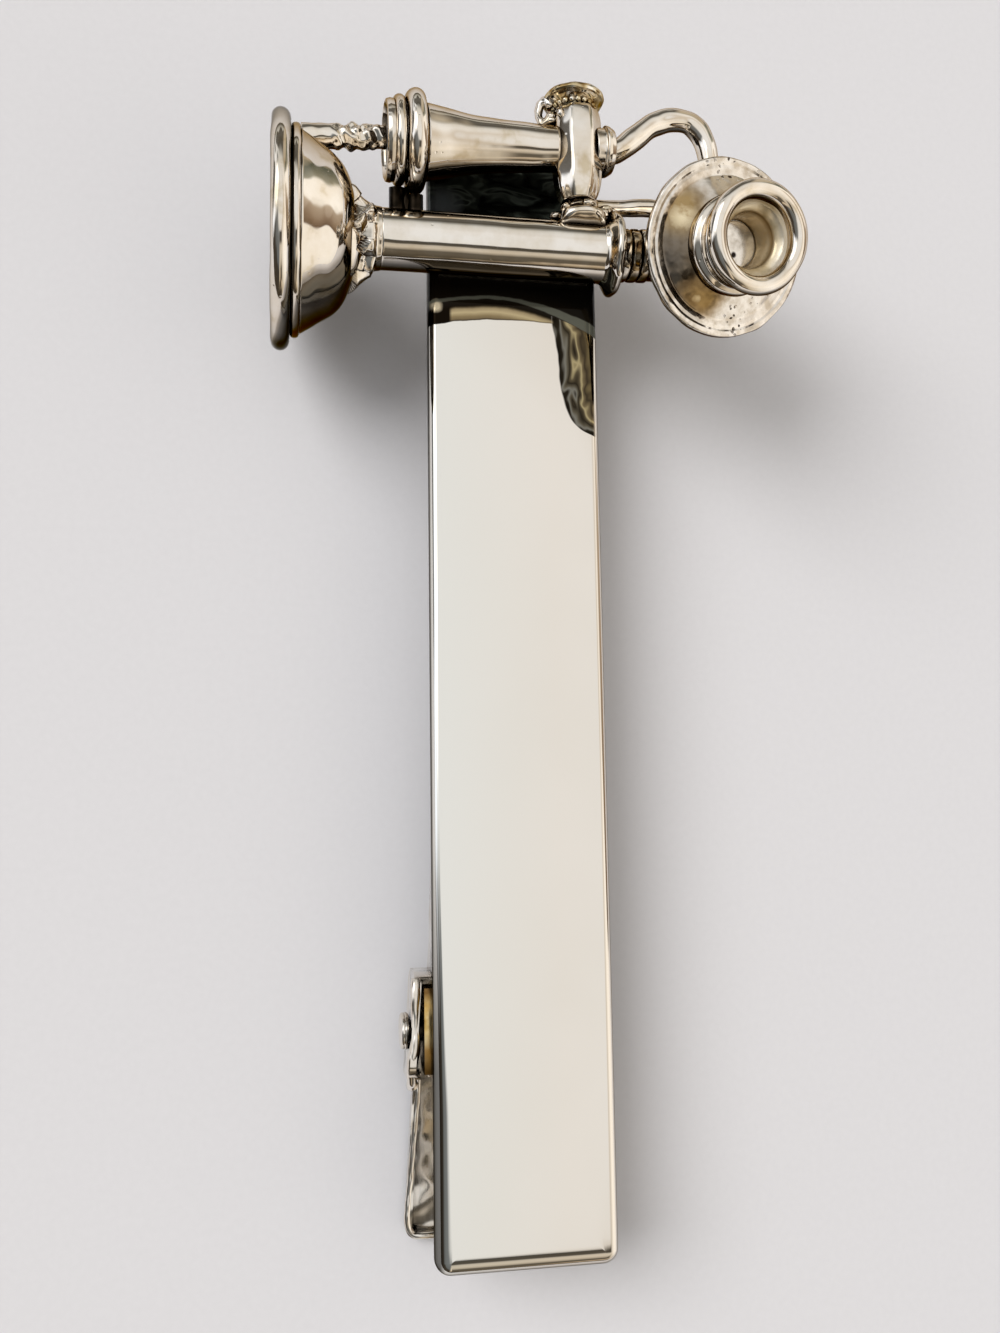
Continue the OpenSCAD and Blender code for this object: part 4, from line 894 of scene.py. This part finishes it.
for k, (spot, size) in enumerate(solder_beads):
    bead = blob(f"solder_bead_{k}", spot, size, cast_silver, 40 + k)
    settle(bead, "cast_silver")

# ----------------------------------------
# The cord and the curl: cast solid. One length bends from the receiver's tail round behind
# the faceplate to the collar; the other, laid like rope, runs from the foot to the cap.


def run_metal(name, path, radius, material, sides=32, wave=0.0, size=0.8, up=Vector((0, 0, 1))):
    """Metal along a path: radius(share, turn) gives the wall's distance in mm."""
    corners = []
    for i, p in enumerate(path):
        way = (path[min(i + 1, len(path) - 1)] - path[max(i - 1, 0)]).normalized()
        side = way.cross(up).normalized()
        top = side.cross(way)
        for k in range(sides):
            turn = 2 * pi * k / sides
            spoke = side * cos(turn) + top * sin(turn)
            spot = p + spoke * radius(i / (len(path) - 1), turn)
            corners.append(spot + spoke * wave * noise.noise(spot / size))
    return new_piece(name, corners, wrapped(len(path), sides), material)


cord_shares = [(0, 0, 0), (0.1, 0, 0), (0.19, 0.045, 0), (0.31, 0.15, 0), (0.44, 0.265, 0), (0.55, 0.33, 0),
               (0.66, 0.37, 0), (0.81, 0.375, -0.01), (0.9, 0.34, -0.02), (0.98, 0.26, -0.03),
               (1.03, 0.13, -0.04), (1.05, -0.02, -0.06), (1.02, -0.18, -0.08), (0.93, -0.32, -0.11),
               (0.8, -0.41, -0.13), (0.62, -0.44, -0.14), (0.46, -0.44, -0.14), (0.3, -0.455, -0.14),
               (0.16, -0.47, -0.135), (0.02, -0.485, -0.12), (-0.1, -0.495, -0.1)]
cord_start = hook + ear_way * 1.18
cord_path = curve_through([cord_start + 6 * Vector(s) for s in cord_shares], 6)
cast(run_metal("cord_casting", cord_path, lambda s, turn: 0.64 - 0.24 * s * s, cast_silver,
               wave=0.05, size=0.9), "cord_loop")
curl_turns = [radians(t) for t in range(20, 345, 8)]
curl_path = [Vector((1.42 + 0.32 * cos(t), 61.3 + 0.62 * sin(t), 2.5 + 0.2 * cos(t))) for t in curl_turns]
cast(run_metal("wire_curl", curl_path, lambda s, turn: 0.25 + 0.04 * sin(9 * s), cast_silver,
               sides=20, wave=0.06, size=0.3), "hook_curl")
rod_start, rod_end = Vector((-11.75, 58.73, 2.6)), Vector((-7.3, 59.03, 2.6))


def rope_wall(share, turn):
    """Plain near the foot, then a lay blurred by the casting into lumps 0.4 mm apart."""
    lay = max(0, min(1, (share - 0.32) / 0.15, (0.97 - share) / 0.1))
    lump = noise.noise(Vector((share * 11, 1.9 * cos(turn), 1.9 * sin(turn))))
    strand = abs(cos(pi * share * 7 + turn))
    return (0.66 - 0.08 * share) * (1 + lay * (0.1 * strand + 0.3 * lump - 0.05))


rod_path = [rod_start.lerp(rod_end, k / 110) for k in range(111)]
cast(run_metal("rope_rod", rod_path, rope_wall, cast_silver, sides=48, wave=0.03, size=0.45), "cord_rod")

# ----------------------------------------
# The clamp: a bracket of gilding metal soldered behind the bar, a steel lever pressed
# from one sheet and nickel plated, turning on a riveted pin against a wire spring.

# Gilded brass: yellow and bright, a little brown in random patches where the plating is thin, with painted
# shade toward both ends along the bar
gilt, shader, place = new_material("gilded brass sheet")
tone = grain(place, 900, 4)
skin = ramp(tone, (0.3, "#A8843F"), (0.45, "#D9B873"), (0.7, "#F3E2B8"))
lengthwise = add("SeparateXYZ", {0: place}).outputs[1]
# Painted shade: darker toward both ends along the bar, full in the middle
painted_end_shade = ramp(spread(lengthwise, -0.0214, -0.017), (0.05, (0.12, 0.09, 0.06)), (0.3, (0.45, 0.36, 0.26)),
            (0.5, (1, 1, 1)), (0.8, (0.95, 0.9, 0.85)), (0.95, (0.3, 0.22, 0.15)))
plug(shader, {
    "Base Color": blend(1, skin, painted_end_shade, "MULTIPLY"),
    "Roughness": spread(tone, 0, 1, 0.3, 0.12),
    "Normal": bump(grain(place, 480, 1), 2.5e-4),
    "Metallic": 1,
})
dress("hinge_bracket", gilt)

# Nickel plated pressed steel: bright and slightly warm, pulled into shallow dents by
# the press, with scratches along the lever 0.2 mm apart, and painted shade in its nooks and underneath
nickel, shader, place = new_material("nickel plated pressed steel")
tone = grain(place, 800, 3)
clean = ramp(tone, (0.3, "#DDD2C2"), (0.6, "#F1EBE2"))
scratch = grain(stretched(place, (5000, 300, 5000)), 1, 3)
dent_bump = bump(grain(place, 420, 1), 3e-4)
plug(shader, {
    "Base Color": with_painted_shade(clean, 1.2e-3, 0.3, 0.75),
    "Roughness": spread(scratch, 0, 1, 0.04, 0.2),
    "Normal": bump(scratch, 1e-6, dent_bump),
    "Metallic": 1,
})
dress("clip_lever", nickel)
dress("hinge_pin", nickel)


def lever_edge(name, points, radius):
    """The sheet's edge, thickened and rounded over by the press, on both sides of the lever."""
    for side in ("left", "right"):
        path = [Vector(q if side == "left" else (-1 - q[0], q[1], q[2])) for q in points]
        edge = run_metal(name + "_" + side, curve_through(path, 8), radius, nickel, sides=20, wave=0.03,
                         size=0.5)
        settle(edge, "lever_polish", body="lever")


ear_points = [(-5.42, 14.55, -2.3), (-5.45, 14.0, -2.15), (-5.48, 13.2, -2.1), (-5.5, 12.2, -2.1),
              (-5.48, 11.6, -2.1), (-5.56, 10.9, -2.15), (-5.66, 10.2, -2.25), (-5.72, 9.6, -2.4),
              (-5.68, 9.15, -2.65), (-5.6, 8.95, -3.0)]
lever_edge("ear_edge", ear_points, lambda s, turn: 0.26 + 0.05 * sin(13 * s) + 0.16 * max(0, s - 0.7))
paddle_points = [(-5.12, 9.3, -4.5), (-5.18, 8.0, -4.55), (-5.3, 6.6, -4.68), (-5.42, 5.2, -4.8),
                 (-5.52, 3.8, -4.93), (-5.66, 2.4, -5.06), (-5.68, 1.4, -5.16), (-5.52, 0.84, -5.2),
                 (-5.05, 0.6, -5.22), (-3.5, 0.56, -5.22), (-0.5, 0.56, -5.22)]
lever_edge("paddle_edge", paddle_points, lambda s, turn: 0.17)
pin_y, pin_z = 11.7, -3.4
head_path = [(0, 0, 0), (0, 0.93, 0.05), (0.14, 0.97, 0.06), (0.3, 0.86, 0.12), (0.42, 0.5, 0.2),
             (0.46, 0, 0)]
for side, head_x, out in (("left", -5.8, -1), ("right", 4.8, 1)):
    head = turned("rivet_head_" + side, rounded(head_path, 0.08), (head_x, pin_y, pin_z), (out, 0, 0), nickel,
                  wave=0.07, size=0.5, sides=64, seed=20)
    settle(head, "lever_polish")
drop = blob("bracket_solder_drop", (-4.82, 10.0, -1.95), (0.2, 0.5, 0.3), cast_silver, 60)
settle(drop, "solder")

# The spring: drawn steel wire, wound cold round the pin, straw grey with die lines along
# it. One leg lies against the bar's back. The other presses on the lever's web and swings
# with it, and its first sixth of a turn slides along the coil as the coil winds up.
wire_steel, shader, place = new_material("drawn spring steel wire")
tone = grain(place, 2500, 3)
plug(shader, {
    "Base Color": ramp(tone, (0.3, "#8C857A"), (0.7, "#B8B2A8")),
    "Normal": bump(tone, 6e-6),
    "Metallic": 1,
    "Roughness": 0.25,
})


def coil_spot(turns):
    """A place on the coil's middle line, so many turns from the fixed leg."""
    angle = radians(90 - 360 * turns)
    return Vector((1.05 * turns - coil_end, pin_y + cos(angle), pin_z + sin(angle)))


coil_end = 3.9125
fixed_leg = [Vector((-coil_end, *q)) for q in ((6.1, -1.72), (8.9, -2.12), (10.58, -2.4))]
fixed_path = curve_through(fixed_leg + [coil_spot(0)], 6) + [coil_spot(k / 36) for k in range(1, 233)]
leg_x = coil_spot(6.5)[0]
swinging_leg = [Vector((leg_x, *q)) for q in ((10.58, -4.4), (8.9, -4.525), (6.1, -4.65))]
swinging_path = curve_through([coil_spot(6.5)] + swinging_leg, 6)
swinging_path = [coil_spot(k / 36) for k in range(228, 234)] + swinging_path
# the coil's cut end is thinner, so that it hides inside the wire of the swinging leg
tip = 3 / len(fixed_path)
for name, wire_path, radius, body in (
        ("spring_coil", fixed_path, lambda s, turn: 0.2 if s < 1 - tip else 0.14, "clip_body"),
        ("spring_leg", swinging_path, lambda s, turn: 0.204, "lever")):
    wire = run_metal(name, wire_path, radius, wire_steel, sides=14, up=Vector((1, 0, 0)))
    settle(wire, "spring_wire", "torsion_spring", body=body)
